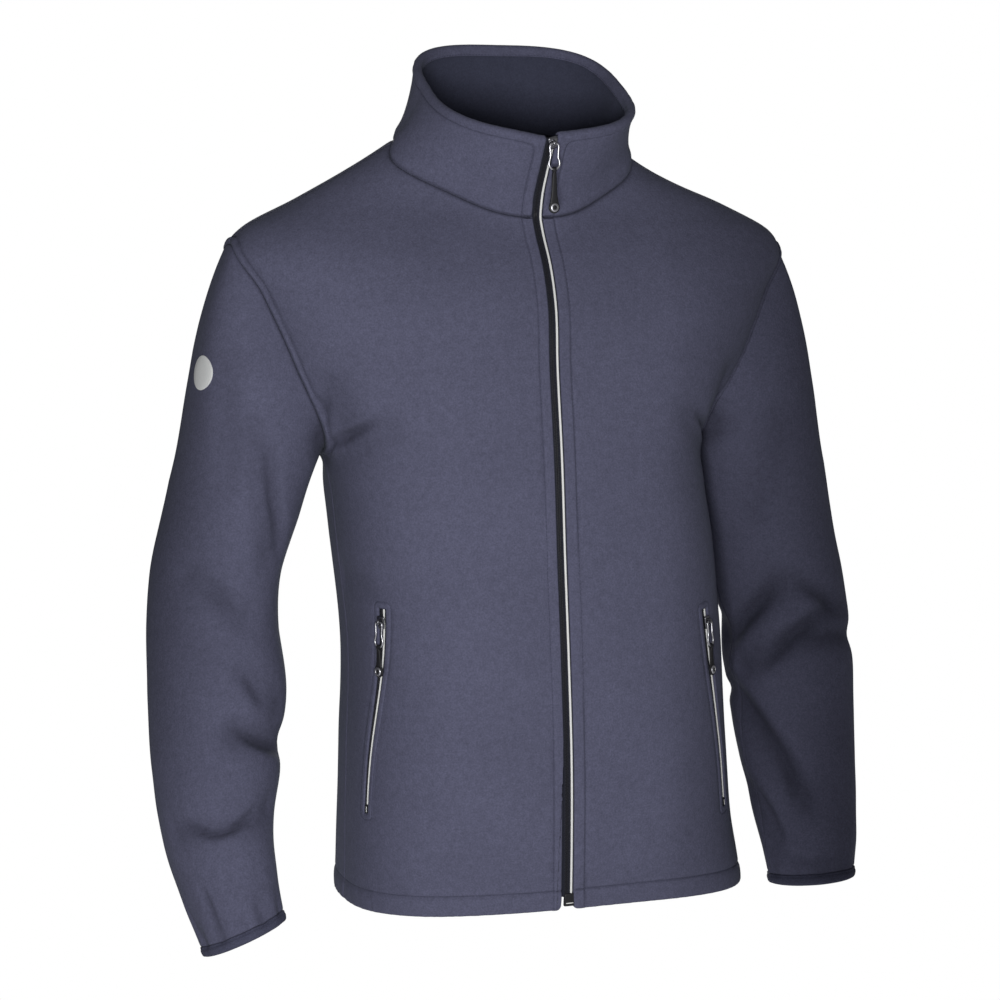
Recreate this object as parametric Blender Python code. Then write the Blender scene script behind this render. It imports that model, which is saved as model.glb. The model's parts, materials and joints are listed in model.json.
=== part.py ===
"""A fleece zip jacket as it is worn: the hollow form that its cut takes on a general figure.

Metres. +X is the wearer's left, -Y the front and +Z up. The origin is the middle of the
neck base, at the height of the shoulders beside the neck, where the wearer holds it up.
Each cloth piece is a grid of points on the worn form, given a thickness inward.
"""
import math

import bmesh
import bpy
import numpy as np
from mathutils import Matrix, Vector, kdtree

# ---------------------------------------------------------------- driving sizes
WALL = 0.0024               # fleece
HEM_WALL = 0.0048           # fleece turned up double at the hem
HEM_DEPTH = 0.0195
SEAM_INSET = 0.0002         # each piece stops this far short of a seam
SAME_POINT = 0.0001         # pieces whose points are this near share a seam
ZIP_GAP_HALF = 0.00575      # half of the gap between the front edges
HEM_FRONT_Z = -0.696
HEM_SIDE_Z = {-1: -0.703, 1: -0.707}
ARMPIT_Z = -0.279
TIP_Z = -0.100              # shoulder tip, top of the armhole
NECK_SIDE_Z = -0.006
NECK_Z = {"front": -0.0695, "back": 0.004}
SHOULDER_LEAN = 0.028       # the wearer's right shoulder is carried a little higher
ARMHOLE_BOW = {"front": math.radians(12), "back": math.radians(15)}
QUARTER = math.pi / 2

# The worn body, a ring at each height: half widths on the wearer's right and left,
# depths in front and behind, the ring's centre, and how square the ring is.
BODY_COLUMNS = ("z", "right", "left", "front", "back", "centre_x", "centre_y", "power")
BODY = np.array([
    (-0.730, 0.177, 0.212, 0.124, 0.138, 0.013, 0.004, 2.50),
    (-0.690, 0.176, 0.208, 0.128, 0.138, 0.012, 0.004, 2.50),
    (-0.640, 0.173, 0.200, 0.134, 0.134, 0.010, 0.003, 2.50),
    (-0.560, 0.1685, 0.1945, 0.141, 0.126, 0.0065, 0.001, 2.50),
    (-0.460, 0.163, 0.191, 0.141, 0.118, 0.003, 0.000, 2.50),
    (-0.370, 0.169, 0.185, 0.139, 0.120, 0.000, 0.000, 2.50),
    (-0.279, 0.184, 0.179, 0.134, 0.126, 0.000, 0.004, 2.50),
    (-0.200, 0.226, 0.220, 0.126, 0.126, 0.000, 0.008, 2.50),
    (-0.140, 0.254, 0.246, 0.116, 0.117, 0.002, 0.010, 2.35),
    (-0.100, 0.266, 0.263, 0.096, 0.104, 0.002, 0.010, 2.20),
    (-0.085, 0.251, 0.255, 0.085, 0.100, 0.001, 0.009, 2.16),
    (-0.060, 0.201, 0.210, 0.066, 0.092, -0.002, 0.006, 2.10),
    (-0.030, 0.144, 0.142, 0.057, 0.082, -0.006, 0.004, 2.00),
    (0.005, 0.088, 0.087, 0.050, 0.075, -0.006, 0.004, 2.00),
])

# The sleeves from the upper arm down: share of the length, centre of the ring, half
# width across and half depth fore and aft.
SLEEVE_COLUMNS = ("share", "x", "y", "z", "across", "deep")
SLEEVE = {
    -1: np.array([
        (0.00, -0.260, 0.022, -0.325, 0.0600, 0.072),
        (0.14, -0.275, 0.024, -0.380, 0.0580, 0.069),
        (0.30, -0.281, 0.024, -0.440, 0.0600, 0.067),
        (0.46, -0.2805, 0.012, -0.500, 0.0625, 0.066),
        (0.62, -0.287, -0.010, -0.560, 0.0590, 0.062),
        (0.78, -0.293, -0.040, -0.618, 0.0510, 0.056),
        (0.92, -0.290, -0.074, -0.668, 0.0435, 0.047),
        (1.00, -0.285, -0.096, -0.702, 0.0395, 0.042),
    ]),
    1: np.array([
        (0.00, 0.254, 0.022, -0.325, 0.0650, 0.074),
        (0.14, 0.267, 0.024, -0.380, 0.0625, 0.071),
        (0.30, 0.280, 0.022, -0.440, 0.0625, 0.068),
        (0.46, 0.283, 0.008, -0.500, 0.0620, 0.065),
        (0.62, 0.281, -0.014, -0.560, 0.0580, 0.060),
        (0.78, 0.277, -0.044, -0.618, 0.0515, 0.054),
        (0.92, 0.271, -0.076, -0.668, 0.0445, 0.046),
        (1.00, 0.266, -0.094, -0.696, 0.0400, 0.042),
    ]),
}
CUFF_BINDING = 0.010
CUFF_BINDING_WALL = 0.0032
CUFF_BINDING_PROUD = 0.0004
ARM_GIRTH = 0.38            # turns a share of the way round the arm into a distance
CAP_LEAVE = (0.45, 0.25, -0.89)     # way a sleeve leaves its armhole: out, forward, down
CAP_FULLNESS = 1.1
CUFF_FACES = {-1: (0.345, -0.235, -0.909), 1: (0.035, -0.143, -0.989)}  # way a cuff opens
CUFF_TURN_FROM = 0.55       # share of the sleeve from which its rings turn that way

# Folds on a sleeve, from one place to another: height and turn round the arm (0 under
# the arm, 0.25 front, 0.5 outside, 0.75 back), then the trough's half width and depth.
FOLD_COLUMNS = ("z1", "turn1", "z2", "turn2", "width", "depth")
SLEEVE_FOLDS = {
    -1: (
        (-0.250, 0.29, -0.365, 0.17, 0.016, 0.0040),
        (-0.385, 0.36, -0.420, 0.22, 0.013, 0.0040),
        (-0.470, 0.22, -0.505, 0.12, 0.013, 0.0035),
        (-0.522, 0.24, -0.545, 0.02, 0.014, 0.0060),
        (-0.606, 0.42, -0.592, 0.12, 0.012, 0.0045),
        (-0.460, 0.92, -0.520, 0.99, 0.016, 0.0060),
        (-0.430, 0.78, -0.480, 0.95, 0.018, 0.0050),
        (-0.580, 0.70, -0.600, 0.90, 0.015, 0.0040),
        (-0.240, 0.72, -0.330, 0.84, 0.018, 0.0045),
    ),
    1: (
        (-0.425, 0.18, -0.485, -0.02, 0.016, 0.0070),
        (-0.450, 0.32, -0.500, 0.06, 0.014, 0.0060),
        (-0.418, 0.24, -0.450, 0.38, 0.012, 0.0035),
        (-0.472, 0.26, -0.483, 0.47, 0.012, 0.0035),
        (-0.530, -0.02, -0.612, 0.18, 0.018, 0.0065),
        (-0.617, -0.02, -0.660, 0.06, 0.013, 0.0040),
        (-0.260, 0.27, -0.350, 0.16, 0.018, 0.0035),
        (-0.440, 0.78, -0.470, 0.96, 0.017, 0.0050),
        (-0.600, 0.66, -0.620, 0.88, 0.015, 0.0045),
    ),
}
# Folds on the body, seen from the front or the back: x and z of both ends.
BODY_FOLD_COLUMNS = ("panel", "x1", "z1", "x2", "z2", "width", "depth")
BODY_FOLDS = (
    ("front", -0.196, -0.215, -0.180, -0.262, 0.014, 0.0040),
    ("front", -0.178, -0.285, -0.150, -0.250, 0.014, 0.0030),
    ("front", 0.192, -0.215, 0.178, -0.262, 0.014, 0.0040),
    ("front", 0.168, -0.290, 0.140, -0.250, 0.014, 0.0025),
    ("back", -0.195, -0.200, -0.170, -0.290, 0.018, 0.0050),
    ("back", 0.195, -0.205, 0.165, -0.295, 0.018, 0.0050),
    ("back", -0.110, -0.440, 0.050, -0.425, 0.024, 0.0060),
    ("back", 0.130, -0.480, -0.020, -0.500, 0.022, 0.0050),
)

# The collar's top edge, a tilted ring.
COLLAR_TOP = {"centre_x": 0.0075, "centre_y": -0.014, "half": 0.0965, "deep": 0.086,
              "front_z": 0.004, "back_z": 0.078, "front_power": 2.5, "back_power": 3.0}
COLLAR_LEAN = 0.025                     # behind, its wearer's right stands higher
COLLAR_DIP = {-1: 0.0055, 1: 0.002}     # the edge drops this much to the zip,
COLLAR_DIP_SPREAD = 0.33                # over this angle
COLLAR_FRONT = (0.0015, -0.0030)        # and the zip's end stands this far over and forward
COLLAR_WAIST = {-1: 0.008, 1: 0.034}    # share by which it draws in at half height
COLLAR_ROLL = 0.0042        # radius of the fold over the top edge
COLLAR_TURN_IN = 0.006
COLLAR_LAYERS_APART = 0.0037
COLLAR_LAYERS_CLEAR = 0.0003
COLLAR_BASE_UP = 0.10       # the inner layer starts this share of a row above the neck seam
COLLAR_ROWS = 5

# Grid lines. Across a front: neck, then shoulder. Up a front: side seam, then armhole.
NECK_LINES, SHOULDER_LINES = 5, 6
ARMHOLE_LINES = 8
NECK_SHARE, SIDE_SHARE = 0.43, 0.615
POCKET_ACROSS = {-1: 0.758, 1: 0.658}
POCKET_HALF_ACROSS = 0.0155
POCKET_LOW, POCKET_HIGH = 0.128, 0.415
POCKET_SLANT = {-1: math.radians(68), 1: math.radians(48)}
POCKET_LIFT = {-1: 0.010, 1: -0.010}
POCKET_LINES = 8
SLEEVE_CAP_LINES, SLEEVE_LINES = 6, 14
COLUMNS_SETTLE = 0.42       # below this share the columns run straight up

# Zips: places across a band in millimetres from its right-hand edge and above the cloth.
BAND_PROFILE = ((0.45, -2.2), (11.05, -2.2), (11.05, -1.2), (5.0, -1.1), (4.4, -0.3),
                (1.4, -0.3), (0.8, -1.1), (0.45, -1.2))
BAND_END_CLEAR = 0.0006     # between the end of a pocket's band and the cloth
PIPING_PROFILE = ((5.3, -0.8), (7.9, -0.8), (7.9, -0.35), (6.6, -0.1), (5.3, -0.35))
ZIP_WIDTH = 11.5
RETAINER = (0.0102, 0.0034, 0.0120)
RETAINER_SUNK = 0.0010      # its face above the cloth, less its thickness
RETAINER_BELOW = 0.0015     # how far it hangs past the hem
RETAINER_CLEAR = 0.0003     # up to the end of the chain
SLIDER = (0.0092, 0.0026, 0.0120)
SLIDER_FOOT = 0.72          # width of its back as a share of its face
SLIDER_LIFT = 0.0002        # above the cloth, clear of the chain
SLIDER_FROM_TOP = {"front": 0.002, "right_pocket": 0.012, "left_pocket": 0.012}
BAIL_ABOVE_MIDDLE = 0.001
BAIL_RADIUS, BAIL_WIRE, BAIL_LIFT = 0.0025, 0.0007, 0.0008
HINGE_LIFT = 0.00135        # above the slider's face
WIRE_RADIUS = 0.0008
WIRE_SHAPE = ((0.0042, 0.0), (0.0040, -0.006), (0.0034, -0.0125), (0.0050, -0.0160),
              (0.0050, -0.0195), (0.0030, -0.0222))
WIRE_DROP = 0.0230
TAB_THICK = 0.0026
TAB_HEAD_HALF, TAB_HALF = 0.0017, 0.0040
TAB_EYE = 0.0014
TAB_LENGTH = {"front": 0.0375, "right_pocket": 0.0260, "left_pocket": 0.0260}
PULL_LEAN = {"front": 0.0, "right_pocket": 0.0, "left_pocket": math.radians(4)}

MATERIALS = {
    "fleece": ((0.078, 0.083, 0.124), 0.92, 0.0),
    "binding": ((0.030, 0.034, 0.062), 0.85, 0.0),
    "zip_tape": ((0.018, 0.018, 0.022), 0.75, 0.0),
    "piping": ((0.72, 0.73, 0.74), 0.45, 0.0),
    "metal": ((0.42, 0.42, 0.44), 0.30, 1.0),
    "puller": ((0.018, 0.018, 0.022), 0.50, 0.0),
}
PART_OF = {"front_right": 0, "front_left": 0, "back": 0, "sleeve_right": 1, "sleeve_left": 1,
           "collar_outer": 2}


# ---------------------------------------------------------------- tables and grids
def read_rows(table, key):
    """Smooth values of a table's other columns at a value of its first one."""
    keys, values = table[:, 0], table[:, 1:]
    slopes = np.gradient(values, keys, axis=0)
    key = np.clip(np.asarray(key, float), keys[0], keys[-1])
    low = np.clip(np.searchsorted(keys, key) - 1, 0, len(keys) - 2)
    step = (keys[low + 1] - keys[low])[..., None]
    t = (key - keys[low])[..., None] / step
    return ((1 + 2 * t) * (1 - t) ** 2 * values[low] + t * (1 - t) ** 2 * step * slopes[low]
            + t * t * (3 - 2 * t) * values[low + 1] + t * t * (t - 1) * step * slopes[low + 1])


def body_point(side, panel, phi, z):
    """Point of the worn body, phi from the centre line (0) to the side line."""
    phi, z = np.broadcast_arrays(np.asarray(phi, float), np.asarray(z, float))
    right, left, front, back, centre_x, centre_y, power = np.moveaxis(read_rows(BODY, z), -1, 0)
    half = left if side > 0 else right
    depth = front if panel == "front" else back
    facing = -1 if panel == "front" else 1
    radius = ((np.abs(np.sin(phi)) / half) ** power
              + (np.abs(np.cos(phi)) / depth) ** power) ** (-1 / power)
    x = centre_x + side * radius * np.sin(phi)
    y = centre_y + facing * radius * np.cos(phi)
    raised = np.clip((z - ARMPIT_Z) / (TIP_Z - ARMPIT_Z), 0, 1)
    return np.stack([x, y, z - SHOULDER_LEAN * x * raised], -1)


def hem_edge(across, side):
    phi = across * QUARTER
    return phi, HEM_FRONT_Z + (HEM_SIDE_Z[side] - HEM_FRONT_Z) * np.sin(phi) ** 4


def neck_and_shoulder_edge(across, panel):
    phi = np.clip(across / NECK_SHARE, 0, 1) * QUARTER
    rise = 1 - np.cos(phi) if panel == "front" else np.sin(phi) ** 2
    neck_z = NECK_Z[panel] + (NECK_SIDE_Z - NECK_Z[panel]) * rise ** 1.15
    down = np.clip((across - NECK_SHARE) / (1 - NECK_SHARE), 0, 1)
    return phi, np.where(across <= NECK_SHARE, neck_z, NECK_SIDE_Z + (TIP_Z - NECK_SIDE_Z) * down)


def side_edge(up, panel, side):
    """The side seam, then the armhole, which bows in from the shoulder tip to the armpit."""
    seam = np.clip(up / SIDE_SHARE, 0, 1)
    hole = np.clip((up - SIDE_SHARE) / (1 - SIDE_SHARE), 0, 1)
    seam_z = HEM_SIDE_Z[side] + (ARMPIT_Z - HEM_SIDE_Z[side]) * seam
    hole_z = ARMPIT_Z + (TIP_Z - ARMPIT_Z) * (1 - np.cos(math.pi * hole)) / 2
    bow = ARMHOLE_BOW[panel] * np.abs(np.sin(math.pi * hole ** 0.75))
    return QUARTER - bow, np.where(up <= SIDE_SHARE, seam_z, hole_z)


def centre_edge(up, panel, half_gap):
    z = HEM_FRONT_Z + (NECK_Z[panel] - HEM_FRONT_Z) * up
    depth = read_rows(BODY, z)[..., BODY_COLUMNS.index(panel) - 1]
    return np.arcsin(half_gap / depth), z


def panel_grid(side, panel, across, up, half_gap):
    """Rows from the hem up, columns from the centre line to the side."""
    ends = np.array([0.0, 1.0])
    left, right = centre_edge(up, panel, half_gap), side_edge(up, panel, side)
    start = centre_edge(ends, panel, half_gap)[0]
    low, high = hem_edge(across, side), neck_and_shoulder_edge(across, panel)
    low = (start[0] + low[0] * (1 - start[0] / QUARTER), low[1])
    high = (start[1] + high[0] * (1 - start[1] / QUARTER), high[1])
    weight = np.clip((up - COLUMNS_SETTLE) / (1 - COLUMNS_SETTLE), 0, 1) ** 1.7
    cross, rise, blend = across[None, :], up[:, None], weight[:, None]
    grid = []
    for c in range(2):
        sides = (1 - cross) * left[c][:, None] + cross * right[c][:, None]
        low_share = low[c][None, :] - ((1 - cross) * low[c][0] + cross * low[c][-1])
        high_share = high[c][None, :] - ((1 - cross) * high[c][0] + cross * high[c][-1])
        grid.append(sides + (1 - blend) * low_share + blend * high_share)
    middle = (POCKET_LOW + POCKET_HIGH) / 2
    near = np.exp(-((rise - middle) / 0.25) ** 2) * np.clip(rise / 0.10, 0, 1)
    near = near * np.sin(math.pi * cross) * (panel == "front")
    phi = grid[0] - POCKET_SLANT[side] * (rise - middle) * near
    return body_point(side, panel, phi, grid[1] + POCKET_LIFT[side] * near)


def lines(*stops):
    """Grid lines: lines(0, 5, 0.43, 6, 1) has 5 spaces up to 0.43 and 6 up to 1."""
    values = [stops[0]]
    for count, stop in zip(stops[1::2], stops[2::2]):
        values.extend(np.linspace(values[-1], stop, count + 1)[1:])
    return np.array(values)


def lines_across(side):
    """The same for front and back, which meet at the shoulder seam."""
    plain = lines(0, NECK_LINES, NECK_SHARE, SHOULDER_LINES, 1)
    slot = [POCKET_ACROSS[side] - POCKET_HALF_ACROSS, POCKET_ACROSS[side] + POCKET_HALF_ACROSS]
    nearest = int(np.argmin(np.abs(plain - POCKET_ACROSS[side])))
    return np.sort(np.concatenate([np.delete(plain, nearest), slot]))


def lines_up():
    hem = HEM_DEPTH / (NECK_Z["front"] - HEM_FRONT_Z)
    return lines(0, 2, hem, 1, hem * 1.15, 2, POCKET_LOW, POCKET_LINES, POCKET_HIGH, 6, SIDE_SHARE,
                 ARMHOLE_LINES, 1)


def sleeve_ring(side, share, turn):
    """Point on the arm of a sleeve, and the direction down the sleeve there."""
    row = read_rows(SLEEVE[side], share)
    ahead = read_rows(SLEEVE[side], np.minimum(share + 0.02, 1.0))[..., :3]
    behind = read_rows(SLEEVE[side], np.maximum(share - 0.02, 0.0))[..., :3]
    down = (ahead - behind) / np.linalg.norm(ahead - behind, axis=-1, keepdims=True)
    late = np.clip((share - CUFF_TURN_FROM) / (1 - CUFF_TURN_FROM), 0, 1)[..., None]
    face = unit(down + late * late * (3 - 2 * late) * (np.array(CUFF_FACES[side]) - down))
    outward = unit(np.array([side, 0.0, 0.0]) - face * face[..., :1] * side)
    forward = side * np.cross(face, outward)
    angle = 2 * math.pi * turn[..., None]
    across, deep = (row[..., SLEEVE_COLUMNS.index(size) - 1, None] for size in ("across", "deep"))
    return (row[..., :3] - outward * np.cos(angle) * across
            + forward * np.sin(angle) * deep), down


def sleeve_grid(side, armhole, cap_lines, arm_shares):
    """Rows from the armhole down, columns round the arm from under it by the front."""
    turn = np.arange(len(armhole)) / len(armhole)
    ring, down = sleeve_ring(side, np.zeros(len(armhole)), turn)
    span = np.linalg.norm(ring - armhole, axis=1)[:, None]
    out, forward, fall = CAP_LEAVE
    leave = np.array([[side * out, -forward * s, fall] for s in np.sin(2 * math.pi * turn)])
    rows = []
    for t in np.linspace(0, 1, cap_lines + 1):
        rows.append((1 + 2 * t) * (1 - t) ** 2 * armhole + t * t * (3 - 2 * t) * ring
                    + (CAP_FULLNESS * t * (1 - t) ** 2 * leave + t * t * (t - 1) * down) * span)
    for share in arm_shares[1:]:
        rows.append(sleeve_ring(side, np.full(len(armhole), share), turn)[0])
    return np.array(rows)


def collar_top(side, phi):
    """Top edge of the collar, phi from the centre front (0) to the centre back."""
    top = COLLAR_TOP
    power = np.where(phi < QUARTER, top["front_power"], top["back_power"])
    radius = ((np.abs(np.sin(phi)) / top["half"]) ** power
              + (np.abs(np.cos(phi)) / top["deep"]) ** power) ** (-1 / power)
    ahead = np.maximum(np.cos(phi), 0)
    sideways = np.sin(np.minimum(phi, QUARTER)) * top["centre_x"] + COLLAR_FRONT[0] * ahead
    y = -radius * np.cos(phi)
    z = top["front_z"] + (top["back_z"] - top["front_z"]) * (y / top["deep"] + 1) / 2
    z = z - COLLAR_DIP[side] * np.exp(-(phi / COLLAR_DIP_SPREAD) ** 2)
    x = sideways + side * radius * np.sin(phi)
    z = z - COLLAR_LEAN * x * (1 - ahead)
    return np.stack([x, y + top["centre_y"] + COLLAR_FRONT[1] * ahead, z], -1)


def collar_grid(neck, front_count, back_count, rows):
    """Rows up from the neck seam; columns from the right front round the back."""
    start = math.asin(ZIP_GAP_HALF / COLLAR_TOP["deep"])
    front = np.linspace(start, QUARTER, front_count + 1)
    back = np.linspace(QUARTER, math.pi, back_count + 1)[1:]
    phi = np.concatenate([front, back])
    top = np.concatenate([collar_top(-1, phi), collar_top(1, phi)[::-1][1:]])
    share = np.linspace(0, 1, rows + 1)[:, None, None]
    grid = neck * (1 - share) + top * share
    waist = np.where(grid[..., :1] > 0, COLLAR_WAIST[1], COLLAR_WAIST[-1])
    waist = waist * 4 * share * (1 - share) * np.sin(np.concatenate([phi, phi[::-1][1:]]))[:, None]
    grid[..., :2] *= 1 - waist
    return grid


# ---------------------------------------------------------------- folds and normals
def segment_distance(u, v, start, end):
    along = np.subtract(end, start)
    t = ((u - start[0]) * along[0] + (v - start[1]) * along[1]) / (along @ along)
    t = np.clip(t, 0, 1)
    return np.hypot(u - start[0] - t * along[0], v - start[1] - t * along[1])


def fold_sleeve(side, grid, normals):
    turn = np.broadcast_to(np.arange(grid.shape[1]) / grid.shape[1], grid.shape[:2])
    drop = np.zeros(grid.shape[:2])
    for row in SLEEVE_FOLDS[side]:
        fold = dict(zip(FOLD_COLUMNS, row))
        start = (fold["turn1"] * ARM_GIRTH, fold["z1"])
        end = (fold["turn2"] * ARM_GIRTH, fold["z2"])
        for wrap in (-1, 0, 1):
            away = segment_distance((turn + wrap) * ARM_GIRTH, grid[..., 2], start, end)
            drop += fold["depth"] * np.exp(-(away / fold["width"]) ** 2)
    free = np.clip(np.arange(len(grid)) / 3, 0, 1) * np.clip(np.arange(len(grid))[::-1] / 2, 0, 1)
    return grid - normals * (drop * free[:, None])[..., None]


def fold_body(panel, grid, normals):
    drop = np.zeros(grid.shape[:2])
    for row in BODY_FOLDS:
        fold = dict(zip(BODY_FOLD_COLUMNS, row))
        if fold["panel"] == panel:
            away = segment_distance(grid[..., 0], grid[..., 2],
                                    (fold["x1"], fold["z1"]), (fold["x2"], fold["z2"]))
            drop += fold["depth"] * np.exp(-(away / fold["width"]) ** 2)
    free = np.ones(grid.shape[:2])
    free[0] = free[-1] = free[:, 0] = free[:, -1] = 0
    return grid - normals * (drop * free)[..., None]


def grid_normals(grid, closed):
    """Area-weighted normals at a grid's points, outward for columns x rows."""
    points = np.concatenate([grid, grid[:, :1]], axis=1) if closed else grid
    face = np.cross(points[1:, 1:] - points[:-1, :-1], points[1:, :-1] - points[:-1, 1:])
    total = np.zeros_like(points)
    for rows in (slice(None, -1), slice(1, None)):
        for columns in (slice(None, -1), slice(1, None)):
            total[rows, columns] += face
    if closed:
        total[:, 0] += total[:, -1]
        total = total[:, :-1]
    return total


def unit(vectors):
    return vectors / np.maximum(np.linalg.norm(vectors, axis=-1, keepdims=True), 1e-12)


def shared_normals(grids, closed):
    """Normals of the whole skin, and how much longer each wall is where it mitres.

    Body, sleeves and collar each count once, so a normal halves the angle at their seams.
    """
    own = {name: grid_normals(grid, name in closed) for name, grid in grids.items()}
    points = np.concatenate([grid.reshape(-1, 3) for grid in grids.values()])
    weights = np.concatenate([own[name].reshape(-1, 3) for name in grids])
    part_of = np.concatenate([np.full(grid[..., 0].size, PART_OF[name])
                              for name, grid in grids.items()])
    tree = kdtree.KDTree(len(points))
    for index, point in enumerate(points):
        tree.insert(point, index)
    tree.balance()
    normals, mitre = {}, {}
    for name, grid in grids.items():
        joint = []
        for point in grid.reshape(-1, 3):
            near = np.array([index for _, index, _ in tree.find_range(point, SAME_POINT)])
            joint.append(sum(unit(weights[near[part_of[near] == one]].sum(0))
                             for one in set(part_of[near])))
        joint = unit(np.array(joint)).reshape(grid.shape)
        normals[name] = joint
        mitre[name] = 1 / np.maximum((joint * unit(own[name])).sum(-1), 0.6)
    return normals, mitre


# ---------------------------------------------------------------- solids
def edge_inset(edge, next_in, own, joint, closed):
    """Steps back from a seam: square to it, and inward where two pieces fold together."""
    if closed:
        along = np.roll(edge, -1, axis=0) - np.roll(edge, 1, axis=0)
    else:
        along = np.gradient(edge, axis=0)
    back = unit(np.cross(along, own))
    back *= np.sign((back * (next_in - edge)).sum(-1, keepdims=True))
    pinch = 1 - np.clip((own * joint).sum(-1, keepdims=True), 0, 1)
    return (back - own * pinch * 1.5) * SEAM_INSET


def wall_mesh(name, grid, normals, thickness, closed=False, cut=None):
    """A closed wall: the grid's faces, the same faces inside, and the rim between them.

    cut is a set of (row, column) cells that are left open. Both faces, and the rims of two
    pieces that meet, are split along the same diagonals.
    """
    grid = grid.copy()
    inset = np.zeros_like(grid)
    own = unit(grid_normals(grid, closed))
    for edge, next_in in ((0, 1), (-1, -2)):
        inset[edge] += edge_inset(grid[edge], grid[next_in], own[edge], normals[edge], closed)
        if not closed:
            inset[:, edge] += edge_inset(grid[:, edge], grid[:, next_in], own[:, edge],
                                         normals[:, edge], False)
    inner = grid - normals * np.asarray(thickness)[..., None] + inset
    grid += inset
    rows, columns = grid.shape[:2]
    cells = [(r, c) for r in range(rows - 1) for c in range(columns if closed else columns - 1)
             if not cut or (r, c) not in cut]
    mesh = bmesh.new()
    outer_points = [mesh.verts.new(p) for p in grid.reshape(-1, 3)]
    inner_points = [mesh.verts.new(p) for p in inner.reshape(-1, 3)]
    edges = {}
    for r, c in cells:
        d = (c + 1) % columns
        ring = [r * columns + c, r * columns + d, (r + 1) * columns + d, (r + 1) * columns + c]
        mesh.faces.new([outer_points[i] for i in ring])
        mesh.faces.new([inner_points[i] for i in ring[:1] + ring[:0:-1]])
        for a, b in zip(ring, ring[1:] + ring[:1]):
            if not edges.pop((b, a), None):
                edges[(a, b)] = True
    for a, b in edges:
        rim = [outer_points[b], outer_points[a], inner_points[a], inner_points[b]]
        if rim[1].co.z > rim[0].co.z:
            rim = rim[1:] + rim[:1]
        mesh.faces.new(rim)
    bmesh.ops.delete(mesh, geom=[v for v in mesh.verts if not v.link_faces], context="VERTS")
    bmesh.ops.triangulate(mesh, faces=mesh.faces[:], quad_method="FIXED")
    return finish_mesh(name, mesh)


def ribbon_mesh(name, left, right, normals, profile):
    """A strip between two edges, its section given across and above in millimetres."""
    mesh = bmesh.new()
    rings = []
    for a, b, normal_a, normal_b in zip(left, right, *normals):
        ring = []
        for u, v in profile:
            share = u / ZIP_WIDTH
            out = normal_a * (1 - share) + normal_b * share
            ring.append(mesh.verts.new(a + (b - a) * share + out * v * 0.001))
        rings.append(ring)
    count = len(profile)
    for low, high in zip(rings, rings[1:]):
        for i in range(count):
            j = (i + 1) % count
            mesh.faces.new([low[i], low[j], high[j], high[i]])
    mesh.faces.new(list(reversed(rings[0])))
    mesh.faces.new(rings[-1])
    return finish_mesh(name, mesh)


def finish_mesh(name, mesh):
    bmesh.ops.recalc_face_normals(mesh, faces=mesh.faces)
    data = bpy.data.meshes.new(name)
    mesh.to_mesh(data)
    mesh.free()
    data.shade_smooth()
    data.set_sharp_from_angle(angle=math.radians(50))
    return data


def material(name):
    found = bpy.data.materials.get(name)
    if found:
        return found
    colour, roughness, metallic = MATERIALS[name]
    made = bpy.data.materials.new(name)
    made.use_nodes = True
    shader = made.node_tree.nodes["Principled BSDF"]
    shader.inputs["Base Color"].default_value = (*colour, 1)
    shader.inputs["Roughness"].default_value = roughness
    shader.inputs["Metallic"].default_value = metallic
    made.diffuse_color = (*colour, 1)
    return made


def add(collection, name, data, finish, parent=None, frame=None):
    """Put a mesh in the collection as an object, at a frame or under a parent empty."""
    item = bpy.data.objects.new(name, data)
    data.materials.clear()
    data.materials.append(material(finish))
    collection.objects.link(item)
    item.parent = parent
    if frame is not None:
        item.matrix_world = frame
    return item


# ---------------------------------------------------------------- the cloth pieces
def cloth_grids():
    """The outer skin of every cloth panel, folds included, before it is thickened."""
    up = lines_up()
    panels = {}
    for side in (-1, 1):
        for panel in ("front", "back"):
            gap = ZIP_GAP_HALF if panel == "front" else 0.0
            panels[panel, side] = panel_grid(side, panel, lines_across(side), up, gap)
    hole = int(np.argmin(np.abs(up - SIDE_SHARE)))
    grids = {
        "front_right": panels["front", -1][:, ::-1],
        "front_left": panels["front", 1],
        "back": np.concatenate([panels["back", 1][:, ::-1], panels["back", -1][:, 1:]], axis=1),
    }
    for side, name in ((-1, "sleeve_right"), (1, "sleeve_left")):
        armhole = np.concatenate([panels["front", side][hole:, -1],
                                  panels["back", side][hole:, -1][::-1][1:-1]])
        grid = sleeve_grid(side, armhole, SLEEVE_CAP_LINES, lines(0, SLEEVE_LINES, 1))
        grids[name] = grid if side < 0 else grid[:, ::-1]
    neck = [panels[key][-1, :NECK_LINES + 1]
            for key in (("front", -1), ("back", -1), ("back", 1), ("front", 1))]
    seam = np.concatenate([neck[0], neck[1][::-1][1:], neck[2][1:], neck[3][::-1][1:]])
    grids["collar_outer"] = collar_grid(seam, NECK_LINES, NECK_LINES, COLLAR_ROWS)[:, ::-1]
    return grids


def folded(grids):
    closed = {"sleeve_right", "sleeve_left"}
    normals, _ = shared_normals(grids, closed)
    for name, panel in (("front_right", "front"), ("front_left", "front"), ("back", "back")):
        grids[name] = fold_body(panel, grids[name], normals[name])
    for side, name in ((-1, "sleeve_right"), (1, "sleeve_left")):
        order = slice(None, None, -side)
        turned = fold_sleeve(side, grids[name][:, order], normals[name][:, order])
        grids[name] = turned[:, order]
    return grids, *shared_normals(grids, closed)


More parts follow.
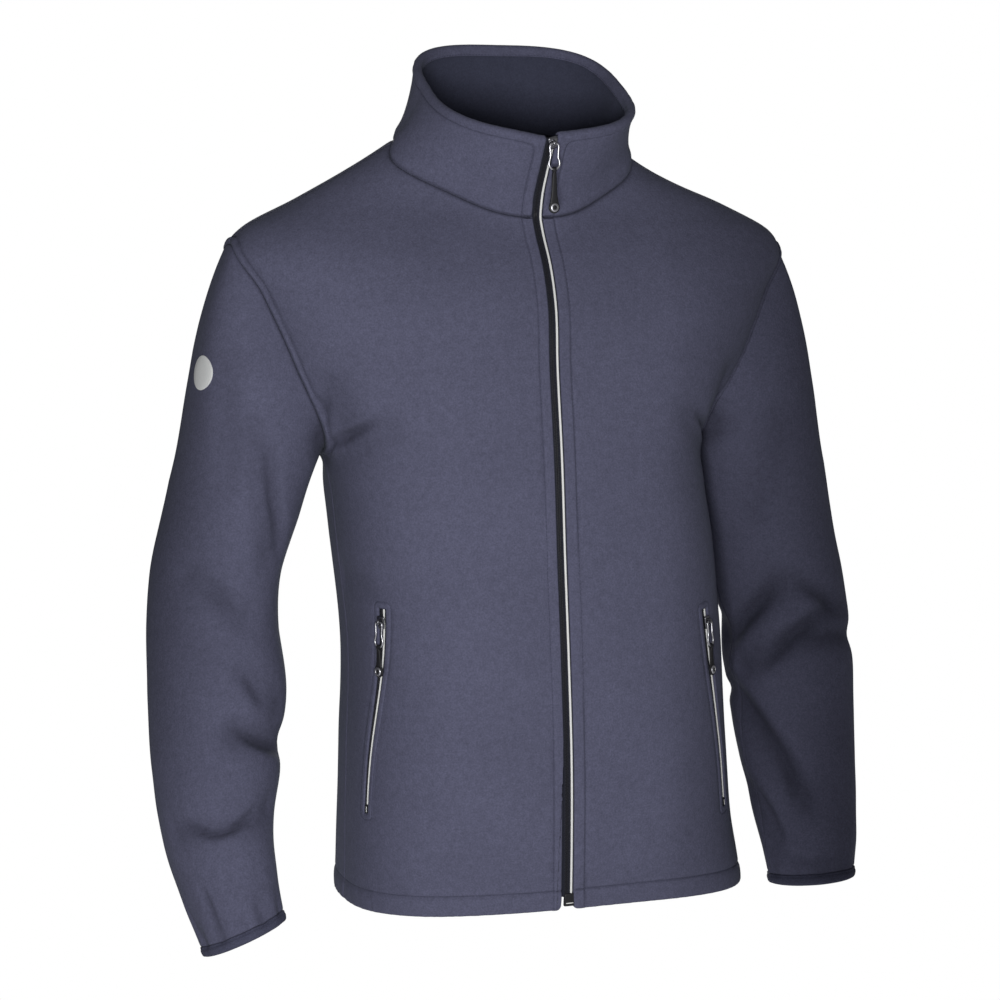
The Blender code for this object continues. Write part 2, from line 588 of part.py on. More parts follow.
def build_panels(collection, grids, normals, mitre):
    up = lines_up()
    hem = up <= HEM_DEPTH / (NECK_Z["front"] - HEM_FRONT_Z) + 1e-6
    low, high = (int(np.argmin(np.abs(up - stop))) for stop in (POCKET_LOW, POCKET_HIGH))
    for name in ("front_right", "front_left", "back"):
        thickness = np.where(hem[:, None], HEM_WALL, WALL) * mitre[name]
        cut = None
        if name != "back":
            column = pocket_column(-1 if name == "front_right" else 1)
            cut = {(row, column) for row in range(low, high)}
        wall = wall_mesh(name, grids[name], normals[name], thickness, cut=cut)
        add(collection, name, wall, "fleece")


def pocket_column(side):
    """Column of a front's grid, as cloth_grids orders it, that is the pocket's slit."""
    across = lines_across(side)
    column = int(np.argmin(np.abs(across - (POCKET_ACROSS[side] - POCKET_HALF_ACROSS))))
    return column if side > 0 else len(across) - 2 - column


def build_sleeves(collection, grids, normals, mitre):
    """A sleeve ends where its cuff binding starts."""
    for name in ("sleeve_right", "sleeve_left"):
        grid, normal = grids[name].copy(), normals[name]
        end = grid[-1].copy()
        grid[-1] = end + unit(grid[-2] - end) * CUFF_BINDING
        wall = wall_mesh(name, grid, normal, WALL * mitre[name], closed=True)
        add(collection, name, wall, "fleece")
        band = np.array([grid[-1] + (end - grid[-1]) * t for t in (0.0, 0.5, 1.0)])
        band += normal[-1] * CUFF_BINDING_PROUD
        thickness = np.full(band.shape[:2], CUFF_BINDING_WALL)
        binding = name.replace("sleeve", "cuff_binding")
        wall = wall_mesh(binding, band, np.array([normal[-1]] * 3), thickness, closed=True)
        add(collection, binding, wall, "binding")


def build_collar(collection, grids, normals, mitre):
    """The outer layer rolls over the top edge; the inner layer meets it inside."""
    grid, normal = grids["collar_outer"], normals["collar_outer"]
    upward = unit(grid[-1] - grid[-2])
    away = unit(normal[-1] - upward * (normal[-1] * upward).sum(-1, keepdims=True))
    centre = grid[-1] - away * COLLAR_ROLL
    roll = [centre + COLLAR_ROLL * (away * math.cos(a) + upward * math.sin(a))
            for a in np.linspace(0, math.pi, 6)[1:]]
    roll.append(roll[-1] - upward * COLLAR_TURN_IN)
    rolled = np.concatenate([grid, roll])
    outward = unit(grid_normals(rolled, False))
    outward[:len(grid) - 1] = normal[:-1]
    thick = np.full(rolled.shape[:2], WALL)
    thick[0] *= mitre["collar_outer"][0]
    add(collection, "collar_outer", wall_mesh("collar_outer", rolled, outward, thick), "fleece")
    own = unit(grid_normals(grid, False))
    inner = grid - own * COLLAR_LAYERS_APART
    inner[0] += (inner[1] - inner[0]) * COLLAR_BASE_UP
    inner[-1] = (roll[-1] - upward * COLLAR_LAYERS_CLEAR
                 + away * (2 * COLLAR_ROLL - COLLAR_LAYERS_APART))
    wall = wall_mesh("collar_inner", inner, own, np.full(inner.shape[:2], WALL))
    add(collection, "collar_inner", wall, "fleece")


# ---------------------------------------------------------------- zips
def tube_object(collection, name, points, radius, closed, finish, frame):
    curve = bpy.data.curves.new(name, "CURVE")
    curve.dimensions = "3D"
    curve.bevel_depth = radius
    curve.bevel_resolution = 2
    curve.use_fill_caps = True
    spline = curve.splines.new("POLY")
    spline.points.add(len(points) - 1)
    for point, place in zip(spline.points, points):
        point.co = (*place, 1)
    spline.use_cyclic_u = closed
    return add(collection, name, curve, finish, frame=frame)


def slider_data(name):
    """A rounded slider with a bail standing on its face, in one body."""
    mesh = bmesh.new()
    bmesh.ops.create_cube(mesh, size=1.0, matrix=Matrix.Diagonal((*SLIDER, 1.0)))
    for vertex in mesh.verts:
        if vertex.co.z < 0:
            vertex.co.x *= SLIDER_FOOT
    bmesh.ops.bevel(mesh, geom=mesh.edges[:], offset=0.0007, segments=2, affect="EDGES", profile=0.5)
    return finish_mesh(name, mesh)


def build_slider(collection, cutters, name, frame):
    item = add(collection, name, slider_data(name), "metal", frame=frame)
    bpy.ops.mesh.primitive_torus_add(major_radius=BAIL_RADIUS, minor_radius=BAIL_WIRE,
                                     major_segments=16, minor_segments=8,
                                     rotation=(0, math.pi / 2, 0))
    bail = bpy.context.object
    bail.name = name + "_bail"
    for holder in list(bail.users_collection):
        holder.objects.unlink(bail)
    cutters.objects.link(bail)
    bail_at = (0, -SLIDER[1] / 2 - BAIL_LIFT, BAIL_ABOVE_MIDDLE)
    bail.matrix_world = (frame @ Matrix.Translation(bail_at)
                         @ Matrix.Rotation(math.pi / 2, 4, "Y"))
    bail.hide_render = True
    bail.display_type = "WIRE"
    join = item.modifiers.new("bail", "BOOLEAN")
    join.operation = "UNION"
    join.object = bail


def wire_points():
    side = [(x, 0.0, z) for x, z in WIRE_SHAPE]
    return side + [(0.0, 0.0, -WIRE_DROP)] + [(-x, y, z) for x, y, z in reversed(side)]


def tab_data(name, length):
    """A moulded puller: a narrow head with an eye for the wire, widening to a round end."""
    outline = [(TAB_HEAD_HALF, 0.0022), (TAB_HEAD_HALF, -0.0045), (TAB_HALF * 0.8, -0.0105),
               (TAB_HALF, -0.018), (TAB_HALF, TAB_HALF - length)]
    outline += [(TAB_HALF * 1.3 * math.cos(a), TAB_HALF - length - TAB_HALF * 1.3 * math.sin(a))
                for a in np.linspace(0.15, math.pi / 2, 5)]
    outline += [(-x, z) for x, z in reversed(outline[:-1])]
    mesh = bmesh.new()
    face = mesh.faces.new([mesh.verts.new((x, -TAB_THICK / 2, z)) for x, z in outline])
    out = bmesh.ops.extrude_face_region(mesh, geom=[face])
    moved = [item for item in out["geom"] if isinstance(item, bmesh.types.BMVert)]
    bmesh.ops.translate(mesh, verts=moved, vec=(0, TAB_THICK, 0))
    for vertex in mesh.verts:
        if vertex.co.z > -0.0046:
            vertex.co.y *= 1.9
    return finish_mesh(name, mesh)


def build_pull(collection, cutters, name, hinge, heading, lean, length):
    """Wire loop on the slider's bail and tab on the loop, hanging clear of the cloth."""
    frame = (Matrix.Translation(hinge) @ Matrix.Rotation(heading, 4, "Z")
             @ Matrix.Rotation(-lean, 4, "X"))
    pivot = bpy.data.objects.new(name + "_wire_axis", None)
    pivot.empty_display_size = 0.005
    collection.objects.link(pivot)
    pivot.matrix_world = frame
    wire = tube_object(collection, name + "_wire", wire_points(), WIRE_RADIUS, True, "metal", frame)
    wire.parent = pivot
    wire.matrix_parent_inverse = frame.inverted()
    low = frame @ Matrix.Translation((0, 0, -WIRE_DROP))
    tab = add(collection, name + "_tab", tab_data(name + "_tab", length), "puller", frame=low)
    bpy.ops.mesh.primitive_cylinder_add(radius=TAB_EYE, depth=0.010, vertices=12)
    eye = bpy.context.object
    eye.name = name + "_eye"
    for holder in list(eye.users_collection):
        holder.objects.unlink(eye)
    cutters.objects.link(eye)
    eye.matrix_world = low @ Matrix.Rotation(math.pi / 2, 4, "Y")
    eye.hide_render = True
    eye.display_type = "WIRE"
    hole = tab.modifiers.new("eye", "BOOLEAN")
    hole.operation = "DIFFERENCE"
    hole.object = eye


def strip_frame(left, right, above, below, normal):
    """Frame on a strip: X across it, Z up along it and -Y out of the cloth."""
    across = unit(right - left)
    out = unit(normal - across * (normal @ across))
    upward = np.cross(across, -out) * -1.0
    if upward @ (above - below) < 0:
        upward = -upward
    middle = (left + right) / 2
    columns = np.column_stack([across, -out, upward])
    frame = Matrix(columns.tolist()).to_4x4()
    frame.translation = Vector(middle)
    return frame


def build_zip(collection, cutters, name, left, right, normals, pull):
    """Chain band, piping and slider along two cloth edges, listed from the bottom up."""
    add(collection, name + "_band",
        ribbon_mesh(name + "_band", left, right, normals, BAND_PROFILE), "zip_tape")
    add(collection, name + "_piping",
        ribbon_mesh(name + "_piping", left, right, normals, PIPING_PROFILE), "piping")
    middle = (left + right) / 2
    run = np.linalg.norm(np.diff(middle, axis=0), axis=1)
    from_top = np.append(np.cumsum(run[::-1])[::-1], 0.0)
    row = int(np.sum(from_top > SLIDER_FROM_TOP[pull])) - 1
    share = (from_top[row] - SLIDER_FROM_TOP[pull]) / run[row]
    out = (normals[0] + normals[1]) / 2
    place = [line[row] * (1 - share) + line[row + 1] * share for line in (left, right, out)]
    frame = strip_frame(place[0], place[1], left[row + 1], left[row], unit(place[2]))
    slider = frame @ Matrix.Translation((0, -SLIDER_LIFT - SLIDER[1] / 2, 0))
    build_slider(collection, cutters, name + "_slider", slider)
    hinge_at = (0, -SLIDER[1] / 2 - HINGE_LIFT, BAIL_ABOVE_MIDDLE)
    hinge = (slider @ Matrix.Translation(hinge_at)).translation
    across = frame.to_3x3().col[0]
    heading = math.atan2(across.y, across.x)
    build_pull(collection, cutters, name, hinge, heading, PULL_LEAN[pull], TAB_LENGTH[pull])


def build_front_zip(collection, cutters, grids, normals):
    edges, outs = [], []
    for front, column in (("front_right", -1), ("front_left", 0)):
        for found, source in ((edges, grids), (outs, normals)):
            found.append(np.concatenate([source[front][:, column],
                                         source["collar_outer"][1:, column]]))
    left, right = edges
    foot = strip_frame(left[0], right[0], left[1], left[0], unit(outs[0][0] + outs[1][0]))
    foot_at = (0, RETAINER[1] / 2 - RETAINER_SUNK, RETAINER[2] / 2 - RETAINER_BELOW)
    foot = foot @ Matrix.Translation(foot_at)
    mesh = bmesh.new()
    bmesh.ops.create_cube(mesh, size=1.0, matrix=Matrix.Diagonal((*RETAINER, 1.0)))
    bmesh.ops.bevel(mesh, geom=mesh.edges[:], offset=0.0008, segments=2, affect="EDGES", profile=0.5)
    retainer = finish_mesh("front_zip_retainer", mesh)
    add(collection, "front_zip_retainer", retainer, "puller", frame=foot)
    clear = RETAINER[2] - RETAINER_BELOW + RETAINER_CLEAR
    for edge in (left, right):
        edge[0] += unit(edge[2] - edge[0]) * clear
        edge[1] = edge[0] * 0.5 + edge[2] * 0.5
    build_zip(collection, cutters, "front_zip", left, right, outs, "front")


def build_pocket_zips(collection, cutters, grids, normals):
    up = lines_up()
    low, high = (int(np.argmin(np.abs(up - stop))) for stop in (POCKET_LOW, POCKET_HIGH))
    for side, front in ((-1, "front_right"), (1, "front_left")):
        column = pocket_column(side)
        name = front.replace("front_", "") + "_pocket"
        left, right = (grids[front][low:high + 1, column + k].copy() for k in (0, 1))
        outs = [normals[front][low:high + 1, column + k] for k in (0, 1)]
        for edge in (left, right):
            edge[0] += unit(edge[1] - edge[0]) * BAND_END_CLEAR
            edge[-1] += unit(edge[-2] - edge[-1]) * BAND_END_CLEAR
        build_zip(collection, cutters, name, left, right, outs, name)


def main():
    for item in list(bpy.data.objects):
        bpy.data.objects.remove(item, do_unlink=True)
    collection = bpy.data.collections.new("fleece_zip_jacket")
    cutters = bpy.data.collections.new("cutters")
    bpy.context.scene.collection.children.link(collection)
    bpy.context.scene.collection.children.link(cutters)
    grids, normals, mitre = folded(cloth_grids())
    build_panels(collection, grids, normals, mitre)
    build_sleeves(collection, grids, normals, mitre)
    build_collar(collection, grids, normals, mitre)
    build_front_zip(collection, cutters, grids, normals)
    build_pocket_zips(collection, cutters, grids, normals)
    bpy.context.view_layer.update()


main()
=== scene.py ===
"""The looks of a fleece zip jacket, worn and zipped up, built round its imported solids.

Metres. +X is the wearer's left, -Y the front and +Z up; the origin is the middle of the neck
base. Each cloth piece is a thin closed shell on the form of its solid: the same tables on a
finer grid, with folds, seams and topstitching pressed into the outer skin.
"""
import json
import math

import bmesh
import bpy
import numpy as np
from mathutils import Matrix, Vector, bvhtree, kdtree, noise


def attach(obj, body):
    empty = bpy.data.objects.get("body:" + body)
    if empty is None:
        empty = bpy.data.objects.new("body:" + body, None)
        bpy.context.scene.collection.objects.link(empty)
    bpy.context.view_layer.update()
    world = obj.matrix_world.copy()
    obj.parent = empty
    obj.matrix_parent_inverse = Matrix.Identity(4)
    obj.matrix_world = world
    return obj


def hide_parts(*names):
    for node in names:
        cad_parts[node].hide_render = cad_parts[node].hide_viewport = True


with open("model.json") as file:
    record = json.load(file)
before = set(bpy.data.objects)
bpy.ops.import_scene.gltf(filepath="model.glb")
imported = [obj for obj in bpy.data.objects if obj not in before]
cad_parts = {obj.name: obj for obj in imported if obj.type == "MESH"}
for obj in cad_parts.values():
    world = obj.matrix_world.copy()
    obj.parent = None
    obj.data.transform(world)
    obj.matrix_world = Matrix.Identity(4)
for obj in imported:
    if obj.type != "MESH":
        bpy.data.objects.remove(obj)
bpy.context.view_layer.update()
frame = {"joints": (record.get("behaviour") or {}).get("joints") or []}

# ---------------------------------------------------------------- the form, as the solids have it
WALL = 0.0024
HEM_WALL = 0.0048
HEM_DEPTH = 0.0195
ZIP_GAP_HALF = 0.00575
HEM_FRONT_Z = -0.696
HEM_SIDE_Z = {-1: -0.703, 1: -0.707}
ARMPIT_Z = -0.279
TIP_Z = -0.100
NECK_SIDE_Z = -0.006
NECK_Z = {"front": -0.0695, "back": 0.004}
SHOULDER_LEAN = 0.028
ARMHOLE_BOW = {"front": math.radians(12), "back": math.radians(15)}
NECK_EASE, ARMHOLE_EASE = 1.15, 0.75
QUARTER = math.pi / 2

BODY_COLUMNS = ("z", "right", "left", "front", "back", "centre_x", "centre_y", "power")
BODY = np.array([
    (-0.730, 0.177, 0.212, 0.124, 0.138, 0.013, 0.004, 2.50),
    (-0.690, 0.176, 0.208, 0.128, 0.138, 0.012, 0.004, 2.50),
    (-0.640, 0.173, 0.200, 0.134, 0.134, 0.010, 0.003, 2.50),
    (-0.560, 0.1685, 0.1945, 0.141, 0.126, 0.0065, 0.001, 2.50),
    (-0.460, 0.163, 0.191, 0.141, 0.118, 0.003, 0.000, 2.50),
    (-0.370, 0.169, 0.185, 0.139, 0.120, 0.000, 0.000, 2.50),
    (-0.279, 0.184, 0.179, 0.134, 0.126, 0.000, 0.004, 2.50),
    (-0.200, 0.226, 0.220, 0.126, 0.126, 0.000, 0.008, 2.50),
    (-0.140, 0.254, 0.246, 0.116, 0.117, 0.002, 0.010, 2.35),
    (-0.100, 0.266, 0.263, 0.096, 0.104, 0.002, 0.010, 2.20),
    (-0.085, 0.251, 0.255, 0.085, 0.100, 0.001, 0.009, 2.16),
    (-0.060, 0.201, 0.210, 0.066, 0.092, -0.002, 0.006, 2.10),
    (-0.030, 0.144, 0.142, 0.057, 0.082, -0.006, 0.004, 2.00),
    (0.005, 0.088, 0.087, 0.050, 0.075, -0.006, 0.004, 2.00),
])
# Down a sleeve: share of its length, its middle as x, y and z, and its half width and depth.
SLEEVE = {
    -1: np.array([
        (0.00, -0.260, 0.022, -0.325, 0.0600, 0.072),
        (0.14, -0.275, 0.024, -0.380, 0.0580, 0.069),
        (0.30, -0.281, 0.024, -0.440, 0.0600, 0.067),
        (0.46, -0.2805, 0.012, -0.500, 0.0625, 0.066),
        (0.62, -0.287, -0.010, -0.560, 0.0590, 0.062),
        (0.78, -0.293, -0.040, -0.618, 0.0510, 0.056),
        (0.92, -0.290, -0.074, -0.668, 0.0435, 0.047),
        (1.00, -0.285, -0.096, -0.702, 0.0395, 0.042),
    ]),
    1: np.array([
        (0.00, 0.254, 0.022, -0.325, 0.0650, 0.074),
        (0.14, 0.267, 0.024, -0.380, 0.0625, 0.071),
        (0.30, 0.280, 0.022, -0.440, 0.0625, 0.068),
        (0.46, 0.283, 0.008, -0.500, 0.0620, 0.065),
        (0.62, 0.281, -0.014, -0.560, 0.0580, 0.060),
        (0.78, 0.277, -0.044, -0.618, 0.0515, 0.054),
        (0.92, 0.271, -0.076, -0.668, 0.0445, 0.046),
        (1.00, 0.266, -0.094, -0.696, 0.0400, 0.042),
    ]),
}
CUFF_BINDING = 0.010
ARM_GIRTH = 0.38
CAP_LEAVE = (0.45, 0.25, -0.89)
CAP_FULLNESS = 1.1
CUFF_FACES = {-1: (0.345, -0.235, -0.909), 1: (0.035, -0.143, -0.989)}
CUFF_TURN_FROM, AIM_STEP = 0.55, 0.02     # shares of a sleeve's length
COLLAR_TOP = {"centre_x": 0.0075, "centre_y": -0.014, "half": 0.0965, "deep": 0.086,
              "front_z": 0.004, "back_z": 0.078, "front_power": 2.5, "back_power": 3.0}
COLLAR_LEAN = 0.025
COLLAR_DIP = {-1: 0.0055, 1: 0.002}
COLLAR_DIP_SPREAD = 0.33
COLLAR_FRONT = (0.0015, -0.0030)
COLLAR_WAIST = {-1: 0.008, 1: 0.034}
COLLAR_ROLL = 0.0042
COLLAR_TURN_IN = 0.006
COLLAR_LAYERS_APART = 0.0037
NECK_SHARE, SIDE_SHARE = 0.43, 0.615
POCKET_ACROSS = {-1: 0.758, 1: 0.658}
POCKET_HALF_ACROSS = 0.0155
POCKET_LOW, POCKET_HIGH = 0.128, 0.415
POCKET_SLANT = {-1: math.radians(68), 1: math.radians(48)}
POCKET_LIFT = {-1: 0.010, 1: -0.010}
POCKET_SPREAD, POCKET_STARTS = 0.25, 0.10
COLUMNS_SETTLE, COLUMNS_EASE = 0.42, 1.7

# Folds on a sleeve: turn round the arm (0 under it, 0.25 in front, 0.5 outside, 0.75 behind) and
# height of both ends, half width and depth. The solids have these too.
FOLD_COLUMNS = ("across1", "z1", "across2", "z2", "width", "depth")
SLEEVE_FOLDS = {
    -1: (
        (0.29, -0.250, 0.17, -0.365, 0.016, 0.0040),
        (0.36, -0.385, 0.22, -0.420, 0.013, 0.0040),
        (0.22, -0.470, 0.12, -0.505, 0.013, 0.0035),
        (0.24, -0.522, 0.02, -0.545, 0.014, 0.0060),
        (0.42, -0.606, 0.12, -0.592, 0.012, 0.0045),
        (0.92, -0.460, 0.99, -0.520, 0.016, 0.0060),
        (0.78, -0.430, 0.95, -0.480, 0.018, 0.0050),
        (0.70, -0.580, 0.90, -0.600, 0.015, 0.0040),
        (0.72, -0.240, 0.84, -0.330, 0.018, 0.0045),
    ),
    1: (
        (0.18, -0.425, -0.02, -0.485, 0.016, 0.0070),
        (0.32, -0.450, 0.06, -0.500, 0.014, 0.0060),
        (0.24, -0.418, 0.38, -0.450, 0.012, 0.0035),
        (0.26, -0.472, 0.47, -0.483, 0.012, 0.0035),
        (-0.02, -0.530, 0.18, -0.612, 0.018, 0.0065),
        (-0.02, -0.617, 0.06, -0.660, 0.013, 0.0040),
        (0.27, -0.260, 0.16, -0.350, 0.018, 0.0035),
        (0.78, -0.440, 0.96, -0.470, 0.017, 0.0050),
        (0.66, -0.600, 0.88, -0.620, 0.015, 0.0045),
    ),
}
# Folds on the body's panels: x and height of both ends, half width and depth.
BODY_FOLDS = {
    "front": (
        (-0.196, -0.215, -0.180, -0.262, 0.014, 0.0040),
        (-0.178, -0.285, -0.150, -0.250, 0.014, 0.0030),
        (0.192, -0.215, 0.178, -0.262, 0.014, 0.0040),
        (0.168, -0.290, 0.140, -0.250, 0.014, 0.0025),
    ),
    "back": (
        (-0.195, -0.200, -0.170, -0.290, 0.018, 0.0050),
        (0.195, -0.205, 0.165, -0.295, 0.018, 0.0050),
        (-0.110, -0.440, 0.050, -0.425, 0.024, 0.0060),
        (0.130, -0.480, -0.020, -0.500, 0.022, 0.0050),
    ),
}
# Creases that only the cloth shows: half width, depth, then places along each, as turn and
# height on a sleeve and as x and z on the body.
SLEEVE_CREASES = {
    -1: (
        (0.008, 0.0045, (0.249, -0.261), (0.200, -0.318), (0.119, -0.374)),
        (0.016, 0.0026, (0.379, -0.174), (0.347, -0.244), (0.314, -0.315)),
        (0.011, 0.0029, (0.322, -0.389), (0.282, -0.403), (0.241, -0.417)),
        (0.009, 0.0038, (0.225, -0.473), (0.192, -0.489), (0.167, -0.504)),
        (0.0060, 0.0078, (0.240, -0.519), (0.184, -0.531), (0.127, -0.540), (0.040, -0.552)),
        (0.0048, 0.0088, (0.410, -0.600), (0.314, -0.606), (0.257, -0.602), (0.165, -0.590)),
        (0.0060, 0.0043, (0.388, -0.650), (0.379, -0.678), (0.371, -0.699)),
        (0.0060, 0.0041, (0.508, -0.668), (0.482, -0.691), (0.461, -0.706)),
        (0.0085, 0.0032, (0.225, -0.656), (0.208, -0.676), (0.205, -0.690)),
        (0.009, 0.0051, (0.930, -0.450), (0.850, -0.475), (0.760, -0.490)),
        (0.008, 0.0043, (0.970, -0.515), (0.880, -0.527), (0.780, -0.515)),
        (0.010, 0.0038, (0.700, -0.360), (0.760, -0.400), (0.860, -0.430)),
        (0.008, 0.0046, (0.620, -0.592), (0.740, -0.602), (0.850, -0.592)),
        (0.013, 0.0032, (0.600, -0.200), (0.660, -0.280), (0.720, -0.340)),
    ),
    1: (
        (0.010, 0.0070, (0.180, -0.424), (0.120, -0.444), (0.070, -0.4595), (0.000, -0.487)),
        (0.009, 0.0061, (0.310, -0.446), (0.200, -0.470), (0.110, -0.500)),
        (0.009, 0.0038, (0.215, -0.419), (0.282, -0.432), (0.360, -0.449)),
        (0.009, 0.0035, (0.260, -0.474), (0.322, -0.472), (0.430, -0.479)),
        (0.014, 0.0070, (0.000, -0.522), (0.070, -0.549), (0.119, -0.570), (0.190, -0.611)),
        (0.010, 0.0049, (0.010, -0.612), (0.061, -0.634), (0.100, -0.656)),
        (0.009, 0.0032, (0.135, -0.588), (0.143, -0.603), (0.151, -0.618)),
        (0.007, 0.0038, (0.080, -0.667), (0.184, -0.670), (0.280, -0.667)),
        (0.009, 0.0049, (0.940, -0.440), (0.860, -0.468), (0.760, -0.480)),
        (0.009, 0.0043, (0.960, -0.530), (0.860, -0.540), (0.760, -0.528)),
        (0.010, 0.0035, (0.680, -0.350), (0.760, -0.390), (0.860, -0.410)),
        (0.008, 0.0043, (0.640, -0.604), (0.760, -0.614), (0.870, -0.606)),
        (0.013, 0.0032, (0.580, -0.200), (0.640, -0.280), (0.700, -0.330)),
    ),
}
BODY_CREASES = {
    "front": (
        (0.0055, 0.0056, (-0.199, -0.222), (-0.196, -0.249), (-0.190, -0.275)),
        (0.0050, 0.0062, (-0.189, -0.279), (-0.178, -0.262), (-0.158, -0.243)),
        (0.009, 0.0020, (-0.166, -0.380), (-0.162, -0.400), (-0.156, -0.415)),
        (0.006, 0.0035, (0.190, -0.220), (0.187, -0.247), (0.180, -0.272)),
        (0.006, 0.0045, (0.179, -0.281), (0.164, -0.262), (0.146, -0.246)),
    ),
    "back": (
        (0.008, 0.0041, (-0.190, -0.205), (-0.180, -0.245), (-0.165, -0.300)),
        (0.008, 0.0041, (0.190, -0.205), (0.178, -0.250), (0.160, -0.300)),
        (0.010, 0.0035, (-0.100, -0.440), (-0.030, -0.452), (0.050, -0.440)),
        (0.010, 0.0029, (0.120, -0.480), (0.050, -0.500), (-0.020, -0.500)),
    ),
}
# Gathers above a cuff: turn round the arm, half width, depth and length up the sleeve.
CUFF_GATHERS = {
    -1: ((0.02, 0.006, 0.0024, 0.026), (0.11, 0.005, 0.0018, 0.020), (0.20, 0.007, 0.0027, 0.030),
         (0.29, 0.005, 0.0015, 0.018), (0.38, 0.007, 0.0030, 0.036), (0.46, 0.005, 0.0024, 0.028),
         (0.56, 0.007, 0.0021, 0.024), (0.67, 0.006, 0.0024, 0.030), (0.79, 0.007, 0.0021, 0.022),
         (0.91, 0.006, 0.00225, 0.028)),
    1: ((0.03, 0.006, 0.0021, 0.022), (0.12, 0.006, 0.0015, 0.018), (0.22, 0.007, 0.0018, 0.020),
        (0.31, 0.005, 0.0018, 0.026), (0.41, 0.007, 0.0021, 0.022), (0.52, 0.006, 0.0018, 0.028),
        (0.61, 0.006, 0.0024, 0.024), (0.72, 0.007, 0.0021, 0.030), (0.83, 0.006, 0.0018, 0.020),
        (0.94, 0.006, 0.0021, 0.026)),
}
# Folds fade out over these shares of a sleeve's cap and arm, and this far from a panel's edge.
CAP_ROWS_FREE, CUFF_SHARE_FREE, CUFF_SHARE_END = 0.5, 0.14, 1.02
BODY_FOLD_FREE, BODY_CREASE_FREE = 0.028, 0.010

# ---------------------------------------------------------------- the finer sizes of the looks
FINE, COARSE = 0.0008, 0.0040    # steps of the grids by the seams and elsewhere
PANEL_WIDTH, PANEL_HEIGHT = 0.285, 0.6265
CAP_LENGTH, ARM_LENGTH = 0.225, 0.395
ARM_SAMPLES = 121
POCKET_STITCH, COLLAR_STITCH = 0.0060, 0.0095
# Fine lines reach this far from an edge or a seam.
EDGE_ZONE, SEAM_ZONE, SLOT_ZONE, CUFF_ZONE = 0.0125, 0.0110, POCKET_STITCH + 0.001, 0.012
HEM_EDGE_ZONE, NECK_SEAM_ZONE, RIM_ZONE = 0.003, 0.005, COLLAR_STITCH + 0.003
# The same below and above the rows at the hem's stitches, a pocket's two ends and the armpit.
ROW_ZONES = ((0.002, 0.003), (0.008, 0.002), (0.002, 0.008), (0.003, 0.010))
# A topstitched edge: how far in its stitches run, how much the cloth up to them stands up, how
# deep and wide they sink, and how far from the edge the cloth puckers and by how much.
EDGE_COLUMNS = ("stitch", "proud", "sunk", "sunk_width", "pucker_reach", "pucker")
EDGES = {
    "hem": (HEM_DEPTH, 0.0, 0.0012, 0.0008, 0.030, 0.00035),
    "armhole": (0.0080, 0.0018, 0.0018, 0.0014, 0.020, 0.00030),
    "zip": (0.0095, 0.0007, 0.0009, 0.0008, 0.018, 0.00025),
    "pocket": (POCKET_STITCH, 0.0006, 0.0007, 0.0008, 0.014, 0.00020),
    "collar": (COLLAR_STITCH, 0.0009, 0.0011, 0.0008, 0.020, 0.00035),
}
# The same last two for a sleeve's own seams, which aren't topstitched.
SLEEVE_PUCKERS = {"head": (0.016, 0.0003), "under": (0.012, 0.0002)}
# Edges and seams that turn over: the radius over which they do, and how far they drop.
TURNS = {
    "seam": (0.0026, 0.0017), "under_arm": (0.0022, 0.0013), "hem": (0.0024, 0.0023),
    "hem_corner": (0.0055, 0.0055), "slit": (0.0015, 0.0011), "cuff": (0.0022, 0.0010),
    "collar_base": (0.0036, 0.0027), "collar_end": (0.0032, 0.0029), "collar_end_in": (0.0032, 0.0007),
    "binding": (0.0018, 0.0018), "binding_in": (0.0018, 0.0010), "binding_top": (0.0009, 0.0008),
}
# Shade painted along a seam's groove: how dark, and how far that reaches.
SEAM_SHADES = {"body": (0.004, 0.0015), "neck": (0.003, 0.0030), "armhole": (0.004, 0.0013),
               "under_arm": (0.004, 0.0012), "collar": (0.006, 0.0022)}
STITCH_SHADE = 2.5      # painted shade in the stitches' grooves, times their depth
SEAM_NEAR, SEAM_BLEND = 0.0026, 0.006     # pieces this near share a normal; how far it reaches
# Detail fades out this near a seam, slow unevenness this near an edge or a cuff, and a sleeve
# has the body's unevenness this near its armhole.
SEAM_CLEAR, STILL, CUFF_STILL, ARM_OWN = 0.0030, 0.030, 0.040, 0.060
NECK_DIP = (0.0028, 0.0006)      # width and depth of the dip along the neck seam
# The hem's swell, how far up its corners by the zip are rounded, and where its wall thins.
HEM_BULGE, HEM_CORNER_RISE, HEM_STEP = 0.0010, 0.016, 0.002
COLLAR_HEIGHT = 0.080            # length that the collar's rows are spread over
RIM_HIDES, STITCH_CORNER = 0.0048, 350     # roll above the collar's last row; sharpness
STITCH_PITCH, STITCH_LENGTH, THREAD = 0.0030, 0.0024, 0.00026
# Along one stitch: share of its length, then height and thickness in threads.
STITCH_SHAPE = ((-0.5, -1.0, 0.5), (-0.32, 0.5, 1.0), (0.0, 0.8, 1.0), (0.32, 0.5, 1.0),
                (0.5, -1.0, 0.5))
